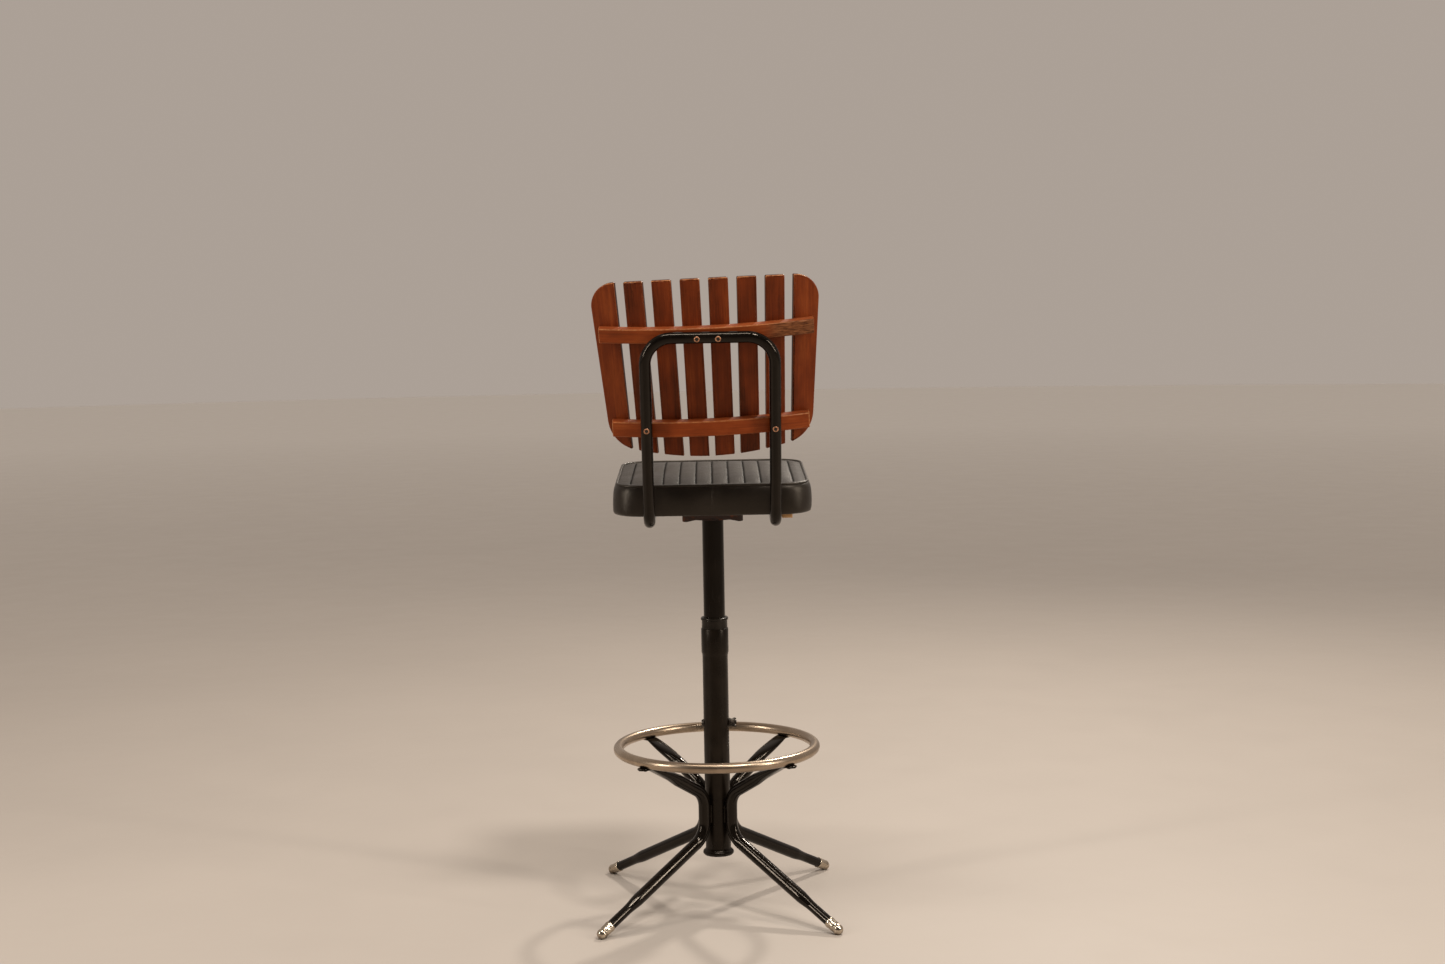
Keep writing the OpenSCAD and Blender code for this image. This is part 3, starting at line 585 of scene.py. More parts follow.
def smooth(t):
    t = min(1.0, max(0.0, t))
    return t * t * (3 - 2 * t)


def between(a, b, t):
    return a + (b - a) * t


def circle(radius, count):
    turns = [2 * pi * i / count for i in range(count)]
    return [(radius * cos(turn), radius * sin(turn)) for turn in turns]


def rounded_path(corners, radii, spacing):
    """Points along a path whose inner corners are bent to the given radii."""
    points = [corners[0]]
    for i, radius in enumerate(radii, 1):
        a, b, c = corners[i - 1:i + 2]
        u = (b - a).normalized()
        v = (c - b).normalized()
        turn = u.angle(v)
        inward = (v - u * u.dot(v)).normalized()
        centre = b - u * radius * tan(turn / 2) + inward * radius
        steps = max(3, ceil(degrees(turn) / 4))
        for k in range(steps + 1):
            t = turn * k / steps
            points.append(centre - inward * radius * cos(t) + u * radius * sin(t))
    points.append(corners[-1])
    fine = [points[0]]
    for a, b in zip(points, points[1:]):
        count = max(1, round((b - a).length / spacing))
        fine.extend(a.lerp(b, k / count) for k in range(1, count + 1))
    return fine


def sweep(points, section, up):
    """Rings of a section along a path. section(distance) gives (across, up) offsets."""
    rings = []
    normal = Vector(up)
    distance = 0.0
    for i, point in enumerate(points):
        before = points[max(0, i - 1)]
        after = points[min(len(points) - 1, i + 1)]
        along = (after - before).normalized()
        normal = (normal - along * normal.dot(along)).normalized()
        across = along.cross(normal)
        distance += (point - before).length
        rings.append([point + across * a + normal * b for a, b in section(distance)])
    return rings


def lathe(profile, count, origin=(0, 0, 0), axis=(0, 0, 1)):
    """Rings of (radius, height) points turned about an axis."""
    axis = Vector(axis).normalized()
    side = axis.orthogonal().normalized()
    other = axis.cross(side)
    return [[Vector(origin) + axis * h + side * a + other * b for a, b in circle(r, count)]
            for r, h in profile]


def arc(centre, radius, start, end, steps):
    """Points of an arc between two angles in degrees."""
    turns = [radians(between(start, end, i / steps)) for i in range(steps + 1)]
    return [(centre[0] + radius * cos(turn), centre[1] + radius * sin(turn)) for turn in turns]


def in_mm(points, right=0.0, up=0.0):
    """Points of an outline given in millimetres from a corner given in metres."""
    return [(right + x * MM, up + y * MM) for x, y in points]


# ---- Base ----

def make_column():
    low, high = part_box("column_tube")
    bell_r = 26.2 * MM
    bore_r = 24.6 * MM
    radius = 24.5 * MM
    bell = high.z - 46 * MM
    profile = in_mm([(-4, 2), (-2.2, 0.1)] + arc((-1.1, 1.1), 1.1, -90, 80, 6), high.x, low.z)
    profile += in_mm(arc((6.5, 9), 6.5, 244, 180, 9), radius, low.z)
    profile += [(radius, between(low.z + 16 * MM, bell, t / 12)) for t in range(1, 12)]
    profile += in_mm([(0, -7), (0.2, -5.5)], radius, bell)
    profile += in_mm([(-0.2, -0.5), (0, 1), (0, 20)], bell_r, bell)
    profile += in_mm([(0, -1), (-0.3, -0.2), (-0.8, 0)], bell_r, high.z)
    profile += in_mm([(0, 0), (0, -6)], bore_r, high.z)
    shape = Shape(lathe(profile, 72), OPEN)
    add_piece("column_shell", shape, "base", "column", ["column_tube"])


def make_bushing():
    """The sleeve's collar: its rim is a little out of true, as old moulded nylon is."""
    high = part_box("top_bushing")[1]
    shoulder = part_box("column_tube")[1].z
    neck_r = 24.65 * MM
    bore_r = 20.65 * MM
    lip = high.z - 6 * MM
    profile = in_mm([(0, -4), (0, 4)], neck_r, shoulder) + in_mm([(0, -1), (0.3, 0)], neck_r, lip)
    profile += in_mm(arc((-1.8, 1.8), 1.8, -80, 0, 5), high.x, lip)
    profile += in_mm(arc((-2.6, -2.6), 2.6, 0, 90, 6), high.x, high.z)
    profile += in_mm([(1.2, 0), (0.3, -0.4), (0, -1.4), (0, -20)], bore_r, high.z)
    rings = lathe(profile, 72)
    for point in sum(rings, []):
        turn = atan2(point.y, point.x)
        rise = smooth((point.z - lip + 2 * MM) / (4 * MM))
        point.z -= rise * MM * (0.5 + 0.35 * sin(3 * turn + 1) + 0.15 * sin(7 * turn))
    add_piece("bushing_collar", Shape(rings, OPEN), "base", "plastic", ["top_bushing"])


def leg_angle(number):
    low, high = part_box("foot_cap_%d" % number)
    return atan2(low.y + high.y, low.x + high.x)


def outward(angle, point):
    return Vector((point[0] * cos(angle), point[0] * sin(angle), point[1]))


def leg_section(distance, arm_at, end):
    """Round tube, swaged slim at the foot. The arm is pressed wider and flat towards its tab."""
    swage = smooth((distance - SLIM_LENGTH) / SWAGE_LENGTH)
    radius = between(LEG_TIP_R, LEG_R, swage)
    tab_at = end - TAB_HALF_W - (TAB_MIDDLE - TAB_START)
    flat = min(1.0, max(0.0, (distance - arm_at) / (tab_at - arm_at)))
    half_w = between(radius, TAB_HALF_W, flat) + PRESSED_OUT * sin(pi * flat)
    half_t = between(radius, TAB_HALF_T, flat)
    tail = distance - (end - TAB_HALF_W)
    if tail > 0:
        half_w *= sqrt(max(0.002, 1 - (tail / TAB_HALF_W) ** 2))
    power = 2 / between(2, 4.5, flat ** 2)  # from an ellipse towards a rectangle
    return [(half_w * copysign(abs(a) ** power, a), half_t * copysign(abs(b) ** power, b))
            for a, b in circle(1, 40)]


def make_leg(number):
    angle = leg_angle(number)
    tip = TAB_MIDDLE + TAB_HALF_W
    corners = [CAP_CENTRE, LOW_CORNER, HIGH_CORNER, ARM_MIDDLE, (TAB_START, TAB_Z), (tip, TAB_Z)]
    corners = [outward(angle, p) for p in corners]
    path = rounded_path(corners, [LOW_BEND, HIGH_BEND, ARM_BEND, TAB_BEND], 3 * MM)
    steps = [(a, (b - a).length) for a, b in zip(path, path[1:])]
    arm_at = sum(length for a, length in steps if a.xy.length < ARM_START or a.z < LOW_CORNER[1])
    end = sum(length for _, length in steps)
    side = Vector((-sin(angle), cos(angle), 0))
    up = (corners[1] - corners[0]).cross(side)
    shape = Shape(sweep(path, lambda d: leg_section(d, arm_at, end), up))
    add_piece("leg_tube_%d" % number, shape, "base", "gloss", ["leg_%d" % number])


def make_cap(number):
    angle = leg_angle(number)
    centre = outward(angle, CAP_CENTRE)
    axis = outward(angle, LOW_CORNER) - centre
    ball = arc((0, 0), 10, -88, 18, 16)
    neck = [(9.35, 4.6), (9.25, 5.4), (9.4, 6.2), (9.8, 6.9)]
    sleeve = [(10, 7.8), (10, 12), (10, 17.6), (10.1, 18.4), (10.45, 18.9)]
    rolled_rim = [(10.55, 19.6), (10.55, 22.8), (10.35, 23.6), (9.9, 24), (9.3, 24), (9.2, 22)]
    rings = lathe(in_mm(ball + neck + sleeve + rolled_rim), 48, centre, axis)
    for point in sum(rings, []):
        point.z = max(point.z, 0.0)  # small flat on the floor
    add_piece("foot_tip_%d" % number, Shape(rings), "base", "cap", ["foot_cap_%d" % number])


def make_ring():
    low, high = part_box("foot_ring")
    tube_r = (high.z - low.z) / 2
    major = high.x - tube_r
    middle = (high.z + low.z) / 2
    count = 224
    length = 2 * pi * major
    seam_half_w, seam_depth = 1.6 * MM, 0.35 * MM
    shape = Shape()
    made = []
    for i in range(count + 1):
        turn = 2 * pi * i / count + pi / 2
        seam = exp(-(min(i, count - i) * length / count / seam_half_w) ** 2)
        out = Vector((cos(turn), sin(turn), 0))
        section = circle(tube_r - seam_depth * seam, 36)
        points = [out * (major + a) + Vector((0, 0, middle + b)) for a, b in section]
        along = [Vector((length * i / count, a * 0.5, b * 0.5)) for a, b in circle(tube_r, 36)]
        made.append(shape.ring(points, along=along))
    shape.skin_all(made)
    add_piece("rest_ring", shape, "base", "ring", ["foot_ring"])


def make_wing_nut():
    low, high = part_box("lock_washer")
    face = low.x - 0.15 * MM
    centre_z = (low.z + high.z) / 2
    hub = [(4.06, 0), (7.2, 0), (7.8, 0.6), (7.7, 1.6), (6.3, 7.8), (5.8, 8.5), (4.06, 8.5)]
    shape = Shape(lathe(in_mm(hub), 36, (face, 0, centre_z), (-1, 0, 0)), OPEN)
    turn = radians(60)
    reach = Vector((0, -sin(turn), cos(turn)))
    across = Vector((0, cos(turn), sin(turn)))
    for side in (-1, 1):
        rings = []
        for k in range(13):
            t = k / 12
            out = between(4.6, 13.4, t)
            height = between(3.4, 10.2, t ** 0.8)
            half = between(3.2, 4.3, sin(pi * min(1, t * 1.1)))
            half *= sqrt(max(0.02, 1 - max(0, (t - 0.62) / 0.4) ** 2))
            thick = between(1.7, 1.05, t) * sqrt(max(0.1, 1 - max(0, (t - 0.8) / 0.22) ** 2))
            middle = Vector((face - height * MM, 0, centre_z)) + reach * side * out * MM
            rings.append([middle + across * thick * p * MM - Vector((half * q * MM, 0, 0))
                          for p, q in circle(1, 20)])
        shape.rings(rings)
    add_piece("wing_nut_cast", shape, "wing_nut", "dark_steel", ["wing_nut"])


# ---- Seat ----

def seat_point(x, y, z):
    c, s = cos(SEAT_TILT), sin(SEAT_TILT)
    return Vector((x, y * c + z * s, SEAT_Z - y * s + z * c))


class CushionGrid:
    """Closed grid of the cushion. Columns run front to back at fixed x, so that the sewn channels
    follow them; the boxing and the underside hang from the top's outer edge."""

    # (offset outside the seam line, height) down the boxing and round to the underside
    SIDE = in_mm([(2.2, 52.5), (4.2, 49.8), (5.6, 45.5), (6.6, 40), (7.2, 33), (7.6, 25), (7.8, 17),
                  (7.7, 10), (7.4, 5.2), (6.8, 2.2), (5.8, -0.2), (3.8, -1.1), (-4, -1.2), (-12, -1.2),
                  (-17.6, -1.0), (-18.3, -0.3), (-18.5, 1.5)])
    CROWN = 9 * MM

    def __init__(self, columns, rows):
        self.columns = columns
        self.rows = rows
        self.points = []
        self.faces = []
        self.kind = []
        self.build()

    def plan(self, column, row, offset):
        """Point of the grid when its outline is grown by an offset."""
        x = self.columns[column]
        past = max(0.0, abs(x) - SEAM_STRAIGHT) / SEAM_CORNER
        corner = SEAM_CORNER + 0.24 * offset
        grown = SEAM_STRAIGHT + 0.76 * offset
        edge = grown + corner * sqrt(max(0.0, 1 - past * past))
        if past > 0:
            x = copysign(grown + corner * past, x)
        else:
            x *= grown / SEAM_STRAIGHT
        return x, self.rows[row] * edge

    def build(self):
        wide, deep = len(self.columns), len(self.rows)
        top = [[self.add(i, j, 0, None) for j in range(deep)] for i in range(wide)]
        around = [(i, 0) for i in range(wide)] + [(wide - 1, j) for j in range(1, deep)]
        around += [(i, deep - 1) for i in range(wide - 2, -1, -1)] + [(0, j) for j in range(deep - 2, 0, -1)]
        loop = [top[i][j] for i, j in around]
        for offset, height in self.SIDE:
            kind = "boxing" if height > 2 * MM else "under"
            below = [self.add(i, j, offset, height, kind) for i, j in around]
            for a in range(len(loop)):
                b = (a + 1) % len(loop)
                self.faces.append((loop[a], below[a], below[b], loop[b]))
            loop = below
        offset, height = self.SIDE[-1]
        at = dict(zip(around, loop))
        under = [[at.get((i, j)) or self.add(i, j, offset, height, "under") for j in range(deep)]
                 for i in range(wide)]
        for i in range(wide - 1):
            for j in range(deep - 1):
                self.faces.append((top[i][j], top[i + 1][j], top[i + 1][j + 1], top[i][j + 1]))
                self.faces.append((under[i][j], under[i][j + 1], under[i + 1][j + 1], under[i + 1][j]))

    def add(self, column, row, offset, height, kind="top"):
        x, y = self.plan(column, row, offset)
        if height is None:
            crown = (1 - abs(x / SEAM_HALF) ** 2.6) * (1 - abs(y / SEAM_HALF) ** 2.6)
            height = CUSHION_H - 1.2 * MM + self.CROWN * max(0.0, crown) ** 0.7
            inner = 0 < column < len(self.columns) - 1 and 0 < row < len(self.rows) - 1
            kind = "top" if inner else "seam"
        self.points.append(Vector((x, y, height)))
        self.kind.append(kind)
        return len(self.points) - 1


def coarse_columns():
    """Even columns, closer together towards the edge across the rounded corners."""
    inner = [between(-SEAM_STRAIGHT, SEAM_STRAIGHT, k / 40) for k in range(41)]
    outer = [SEAM_STRAIGHT + SEAM_CORNER * sin(pi / 2 * k / 9) for k in range(1, 10)]
    return [-x for x in reversed(outer)] + inner + outer


def fine_columns():
    """Columns bunched round each channel's stitch line."""
    steps = [0, 1.1, 2.2, 3.6, 6, 9.5, 15, 20.5, 24, 26.4, 27.8, 28.9]
    last = (CHANNEL_COUNT - 1) / 2 * CHANNEL_PITCH
    inner = [k * CHANNEL_PITCH - last + step * MM for k in range(CHANNEL_COUNT - 1) for step in steps]
    shares = (0.04, 0.09, 0.16, 0.27, 0.4, 0.53, 0.65, 0.76, 0.85, 0.92, 0.97, 0.993, 1)
    outer = [between(last, SEAM_HALF, share) for share in shares]
    return [-x for x in reversed(outer)] + inner + [last] + outer


def even_rows(count):
    """Rows from -1 to 1, a little closer together near the seams."""
    rows = [2 * k / (count - 1) - 1 for k in range(count)]
    return [between(t, sin(pi / 2 * t), 0.35) for t in rows]


# Stiffness and pressure of the cushion's cover while it is blown up
CLOTH = {"quality": 5, "mass": 0.35, "tension_stiffness": 22, "compression_stiffness": 22,
         "shear_stiffness": 12, "bending_stiffness": 2.5, "use_pressure": True,
         "uniform_pressure_force": 4, "vertex_group_mass": "held"}
CLOTH_STEPS = 20


def inflate(grid, cap):
    """Runs a pressure cloth simulation on the grid, held at its seams and underneath, and gives how
    far each point moved, eased so that none moves further than the cap."""
    mesh = new_mesh("inflating", grid)
    pad = new_object("inflating", mesh)
    held = pad.vertex_groups.new(name="held")
    held.add([k for k, kind in enumerate(grid.kind) if kind in ("seam", "under")], 1.0, "REPLACE")
    cloth = pad.modifiers.new("cloth", "CLOTH")
    for setting, value in CLOTH.items():
        setattr(cloth.settings, setting, value)
    cloth.settings.effector_weights.gravity = 0
    cloth.point_cache.frame_start = 1
    cloth.point_cache.frame_end = CLOTH_STEPS
    scene = bpy.context.scene
    for step in range(1, CLOTH_STEPS + 1):
        scene.frame_set(step)
    shown = pad.evaluated_get(bpy.context.evaluated_depsgraph_get())
    moves = []
    for rest, vertex in zip(grid.points, shown.data.vertices):
        move = vertex.co - rest
        length = move.length
        moves.append(move * (cap * tanh(length / cap) / length) if length > 1e-9 else Vector())
    scene.frame_set(1)
    bpy.data.objects.remove(pad)
    bpy.data.meshes.remove(mesh)
    return moves


def tree_of(points):
    tree = kdtree.KDTree(len(points))
    for k, point in enumerate(points):
        tree.insert(point, k)
    tree.balance()
    return tree


def carry_moves(source, moves, target):
    """Moves the target's points as the nearest points of the source moved."""
    tree = tree_of(source.points)
    for k, point in enumerate(target.points):
        if target.kind[k] in ("seam", "under"):
            continue
        total = Vector()
        weight = 0.0
        for _, near, distance in tree.find_n(point, 5):
            share = 1 / (distance + 0.6 * MM) ** 2
            total += moves[near] * share
            weight += share
        point += total / weight


def edge_distance(x, y):
    """Distance in from the seam line, on the cushion's plan."""
    a = max(0.0, abs(x) - SEAM_STRAIGHT)
    b = max(0.0, abs(y) - SEAM_STRAIGHT)
    if a and b:
        return SEAM_CORNER - hypot(a, b)
    return SEAM_HALF - max(abs(x), abs(y))


def sew_channels(grid):
    """Presses a stitched valley along each channel line, puffs the vinyl between, and puckers the cover by
    its seams.
    Gives per point a share of dust and painted sheen, for the puffs and under the seam, and a share of
    painted shade for the valleys."""
    half_run = (CHANNEL_COUNT - 1) / 2 * CHANNEL_PITCH
    dust_and_sheen = []
    groove_shade = []
    for k, point in enumerate(grid.points):
        dust_sheen_share = 0.0
        groove_shade_share = 0.0
        if grid.kind[k] in ("top", "seam"):
            wander = 0.5 * MM * ripple(point.x * 8, point.y * 14, 3)
            x = point.x + wander
            inside = edge_distance(point.x, point.y)
            fade = smooth((inside - CHANNEL_INSET) / CHANNEL_FADE)
            line = round(x / CHANNEL_PITCH) * CHANNEL_PITCH
            off = abs(x - line)
            if abs(line) <= half_run + 1 * MM:
                puff = cos(pi * off / CHANNEL_PITCH) ** 2
                # Painted shade share: near black along the bottom of each stitched valley.
                groove_shade_share = fade * exp(-(off / (2.1 * MM)) ** 2)
                valley = exp(-(off / VALLEY_HALF_W) ** 1.5)
                point.z -= fade * (VALLEY_DEPTH * valley + PUFF * puff)
                # Paler share on the puffs between channels: dust and painted sheen.
                dust_sheen_share = fade * (1 - puff) * 0.6
            pucker = exp(-inside / (9 * MM)) * smooth(inside / (2 * MM))
            turn = atan2(point.y, point.x)
            point.z += 0.7 * MM * pucker * ripple(turn * 26, inside * 30, 7)
        elif grid.kind[k] == "boxing":
            out = Vector((point.x, point.y, 0)).normalized()
            near_seam = exp(-abs(CUSHION_H - point.z) / (11 * MM))
            near_hem = exp(-abs(point.z) / (9 * MM))
            gathers = (near_seam + near_hem) * ripple(point.x * 34, point.y * 34, point.z * 22)
            sag = ripple(point.x * 9, point.y * 9, 1 + point.z * 16)
            point += out * (GATHER_DEPTH * gathers + SAG_DEPTH * sag)
            # Painted sheen: a paler band on the boxing just under the seam.
            dust_sheen_share = 0.25 * near_seam
        dust_and_sheen.append(dust_sheen_share)
        groove_shade.append(groove_shade_share)
    return dust_and_sheen, groove_shade


def make_cushion():
    fine = CushionGrid(fine_columns(), even_rows(72))
    coarse = CushionGrid(coarse_columns(), even_rows(59))
    carry_moves(coarse, inflate(coarse, 4.5 * MM), fine)
    dust_and_sheen, groove_shade = sew_channels(fine)
    shape = Shape()
    shape.ring([seat_point(*p) for p in fine.points], dust_and_sheen=dust_and_sheen, groove_shade=groove_shade)
    shape.faces = fine.faces
    cushion = add_piece("cushion", shape, "seat", "vinyl", ["seat_cover", "seat_foam"])
    return fine


def line_lengths(points):
    lengths = [0.0]
    for a, b in zip(points, points[1:]):
        lengths.append(lengths[-1] + (b - a).length)
    return lengths


def spots_along(points, lengths, distances):
    """Points at rising distances along an open line."""
    spots = []
    k = 0
    for distance in distances:
        while k < len(points) - 2 and lengths[k + 1] < distance:
            k += 1
        step = max(1e-9, lengths[k + 1] - lengths[k])
        share = min(1.0, max(0.0, (distance - lengths[k]) / step))
        spots.append(points[k].lerp(points[k + 1], share))
    return spots


def seam_line(offset, count):
    """Points evenly spaced along the cushion's seam line, grown by an offset."""
    points = []
    for k in range(4):
        middle = Matrix.Rotation(pi / 2 * k, 2) @ Vector((SEAM_STRAIGHT, SEAM_STRAIGHT))
        for t in range(19):
            turn = pi / 2 * (k + t / 18)
            points.append(middle + Vector((cos(turn), sin(turn))) * (SEAM_CORNER + offset))
    points.append(points[0])
    lengths = line_lengths(points)
    return spots_along(points, lengths, [lengths[-1] * i / count for i in range(count)])


def make_welt():
    """Piping sewn into the upper seam, a little wavy and uneven."""
    line = seam_line(0.4 * MM, 300)
    shape = Shape()
    made = []
    for i, p in enumerate(line):
        along = (line[(i + 1) % len(line)] - line[i - 1]).normalized()
        out = Vector((along.y, -along.x))
        wave = ripple(p.x * 22, p.y * 22, 11)
        radius = WELT_R * (1 + 0.06 * ripple(p.x * 90, p.y * 90, 5))
        centre_z = CUSHION_H - 0.2 * MM + 0.55 * MM * wave
        ring = []
        for a, b in circle(radius, 16):
            spot = p + out * (a + 0.3 * MM * wave)
            ring.append(seat_point(spot.x, spot.y, centre_z + b))
        # The piping's upper half is painted paler than its lower half: a painted highlight along its top.
        made.append(shape.ring(ring, dust_and_sheen=[0.9 if b > 0 else 0.2 for _, b in circle(1, 16)]))
    shape.skin_all(made + made[:1])
    add_piece("welt_piping", shape, "seat", "vinyl", ["seat_welt"])


def make_boxing_seam(grid):
    """The upright seam where the boxing strip's ends meet, in the middle of the cushion's rear."""
    rear = [p for k, p in enumerate(grid.points)
            if grid.kind[k] in ("boxing", "seam") and abs(p.x) < 0.3 * MM and p.y > SEAM_HALF - 1 * MM]
    rear.sort(key=lambda p: -p.z)
    rings = []
    for p in rear[1:]:
        x = 0.4 * MM * sin(p.z * 90)
        y = p.y - 0.15 * MM
        rings.append([seat_point(x + 1.2 * MM * a, y + 0.5 * MM * b, p.z) for a, b in circle(1, 12)])
    shape = Shape(rings)
    shape.fields["dust_and_sheen"] = [0.0] * len(shape.points)
    add_piece("boxing_seam", shape, "seat", "vinyl")


def make_channel_stitches(grid):
    """Short thread stitches lying in each channel's valley."""
    aside = (9, 9, 9)
    tree = tree_of([(p.x, p.y, 0) if kind == "top" else aside for p, kind in zip(grid.points, grid.kind)])
    shape = Shape()
    pitch = 4.6 * MM
    half_length = 1.7 * MM
    for line in range(CHANNEL_COUNT):
        x = (line - (CHANNEL_COUNT - 1) / 2) * CHANNEL_PITCH
        run = SEAM_HALF - 14 * MM
        if abs(x) > SEAM_STRAIGHT:
            run = SEAM_STRAIGHT + 30 * MM
        for k in range(int(2 * run / pitch)):
            y = -run + (k + 0.5) * pitch
            at = grid.points[tree.find((x, y, 0))[1]]
            rings = []
            for t in (-1, -0.75, 0, 0.75, 1):
                thick = 0.3 * MM * sqrt(max(0.08, 1 - t ** 4))
                drop = 0.25 * MM * t * t
                rings.append([seat_point(at.x + a, y + t * half_length, at.z - drop + b)
                              for a, b in circle(thick, 6)])
            shape.rings(rings)
    add_piece("channel_stitches", shape, "seat", "thread")


def rounded_corners(half_a, half_b, corner, steps):
    """The four round corners of a rectangle: (angle where each starts, its points)."""
    return [(start, arc((sa * (half_a - corner), sb * (half_b - corner)), corner, start, start + 90, steps))
            for sa, sb, start in ((1, 1, 0), (-1, 1, 90), (-1, -1, 180), (1, -1, 270))]


def make_cleat():
    """Bare offcut of wood nailed under the board."""
    half = Vector((9.6, 28.6, 4.2)) * MM
    centre = Vector((-137, 141, -5.1)) * MM
    rings = []
    for end, inset in ((-1, 1.6), (-1, 0.6), (-0.97, 0), (0.97, 0), (1, 0.6), (1, 1.6)):
        ring = []
        corners = rounded_corners(half.x - inset * MM, half.z - inset * MM, 0.9 * MM, 3)
        for a, b in sum((points for _, points in corners), []):
            rough = 0.35 * MM * ripple(a * 200, end * 3, b * 200)
            ring.append(seat_point(centre.x + a + rough, centre.y + end * half.y, centre.z + b))
        rings.append(ring)
    add_piece("cleat_block", Shape(rings), "seat", "bare", ["seat_cleat"])


# ---- Back ----

def upright_y(z):
    return FRAME_REF[0] + (z - FRAME_REF[1]) * tan(FRAME_LEAN)


def make_back_frame():
    tilt = SEAT_TILT
    lean = tan(FRAME_LEAN)
    rise = SEAT_Z - FRAME_REF[1] - ARM_DROP * cos(tilt)
    corner_y = FRAME_REF[0] + rise * lean + ARM_DROP * sin(tilt)
    corner_y /= cos(tilt) + sin(tilt) * lean
    right = [seat_point(FRAME_HALF, HOOK_START, -ARM_DROP), seat_point(FRAME_HALF, corner_y, -ARM_DROP),
             Vector((FRAME_HALF, upright_y(FRAME_TOP_Z), FRAME_TOP_Z))]
    left = [Vector((-p.x, p.y, p.z)) for p in reversed(right)]
    bends = [LOW_FRAME_BEND, TOP_FRAME_BEND, TOP_FRAME_BEND, LOW_FRAME_BEND]
    rings = sweep(rounded_path(right + left, bends, 10 * MM), lambda d: circle(FRAME_R, 36), (0, 0, 1))
    add_piece("back_tube", Shape(rings), "seat", "gloss", ["back_frame"])


def panel_point(x, y, z):
    """From the backrest's own frame to the chair's. It hangs askew, turned about its lower batten."""
    pivot = LOWER_BATTEN[2]
    rise = z - pivot
    x, z = (x * cos(PANEL_SKEW) + rise * sin(PANEL_SKEW),
            rise * cos(PANEL_SKEW) - x * sin(PANEL_SKEW) + pivot)
    c, s = cos(PANEL_LEAN), sin(PANEL_LEAN)
    origin_y = upright_y(FRAME_TOP_Z) - FRAME_R / cos(FRAME_LEAN)
    return Vector((x, origin_y + y * c + z * s, FRAME_TOP_Z - y * s + z * c))


def panel_height(x, z):
    """Height up the lean of a point of the slats' back, from its distance across and its height."""
    sag = x * x / (2 * BATTEN_R)
    back = -(BATTEN_T + 0.5 * MM)
    return (z - FRAME_TOP_Z - (sag - back) * sin(PANEL_LEAN)) / cos(PANEL_LEAN)


def panel_outline():
    """Closed outline of the slatted panel, anticlockwise from the top middle seen from behind. A low
    corner's centre lies on the side's line and on the low arc, both moved in by the corner's radius."""
    slope = tan(SIDE_TAPER)
    foot = PANEL_SIDE[0] - PANEL_SIDE[1] * slope - LOW_CORNER_R / cos(SIDE_TAPER)
    arc_z = PANEL_LOW_Z + LOW_ARC
    reach = LOW_ARC - LOW_CORNER_R
    square = 1 + slope * slope
    linear = 2 * (foot * slope - arc_z)
    rest = foot * foot + arc_z * arc_z - reach * reach
    corner_z = (-linear - sqrt(linear * linear - 4 * square * rest)) / (2 * square)
    corner_x = foot + corner_z * slope
    meet = degrees(atan2(corner_z - arc_z, corner_x))
    half = [(x * 18 * MM, PANEL_TOP_Z) for x in range(9)]
    half += arc((PANEL_SIDE[0] - TOP_CORNER, PANEL_TOP_Z - TOP_CORNER), TOP_CORNER, 90, 0, 30)
    half += arc((corner_x, corner_z), LOW_CORNER_R, -degrees(SIDE_TAPER), meet, 30)
    half += arc((0, arc_z), LOW_ARC, meet, -90, 24)[1:]
    half = [(x, panel_height(x, z)) for x, z in half]
    return half + [(-x, z) for x, z in reversed(half[1:-1])]


def clip(outline, limit, sign):
    """Part of a convex outline on one side of a line of constant first value."""
    kept = []
    for (x0, y0), (x1, y1) in zip(outline, outline[1:] + outline[:1]):
        inside0 = sign * (x0 - limit) <= 0
        inside1 = sign * (x1 - limit) <= 0
        if inside0:
            kept.append((x0, y0))
        if inside0 != inside1:
            t = (limit - x0) / (x1 - x0)
            kept.append((limit, between(y0, y1, t)))
    return kept


def soften(outline, radius):
    """Rounds an outline's sharp corners."""
    made = []
    count = len(outline)
    for i in range(count):
        a, b, c = Vector(outline[i - 1]), Vector(outline[i]), Vector(outline[(i + 1) % count])
        u = (b - a).normalized()
        v = (c - b).normalized()
        if u.angle(v, 0) > radians(25):
            near = min(radius, (b - a).length * 0.45, (c - b).length * 0.45)
            p, q = b - u * near, b + v * near
            made += [p.lerp(b, t).lerp(b.lerp(q, t), t) for t in (0, 0.2, 0.4, 0.6, 0.8, 1)]
        else:
            made.append(b)
    return made


def respace(points, middle):
    """Points along an open line: close together near its ends, then an even number between."""
    lengths = line_lengths(points)
    total = lengths[-1]
    ends = [d * MM for d in (0, 0.6, 1.2, 1.8, 2.4, 3.4, 5, 8)]
    between_ends = [between(ends[-1], total - ends[-1], k / (middle + 1)) for k in range(1, middle + 1)]
    return spots_along(points, lengths, ends + between_ends + [total - d for d in reversed(ends)])


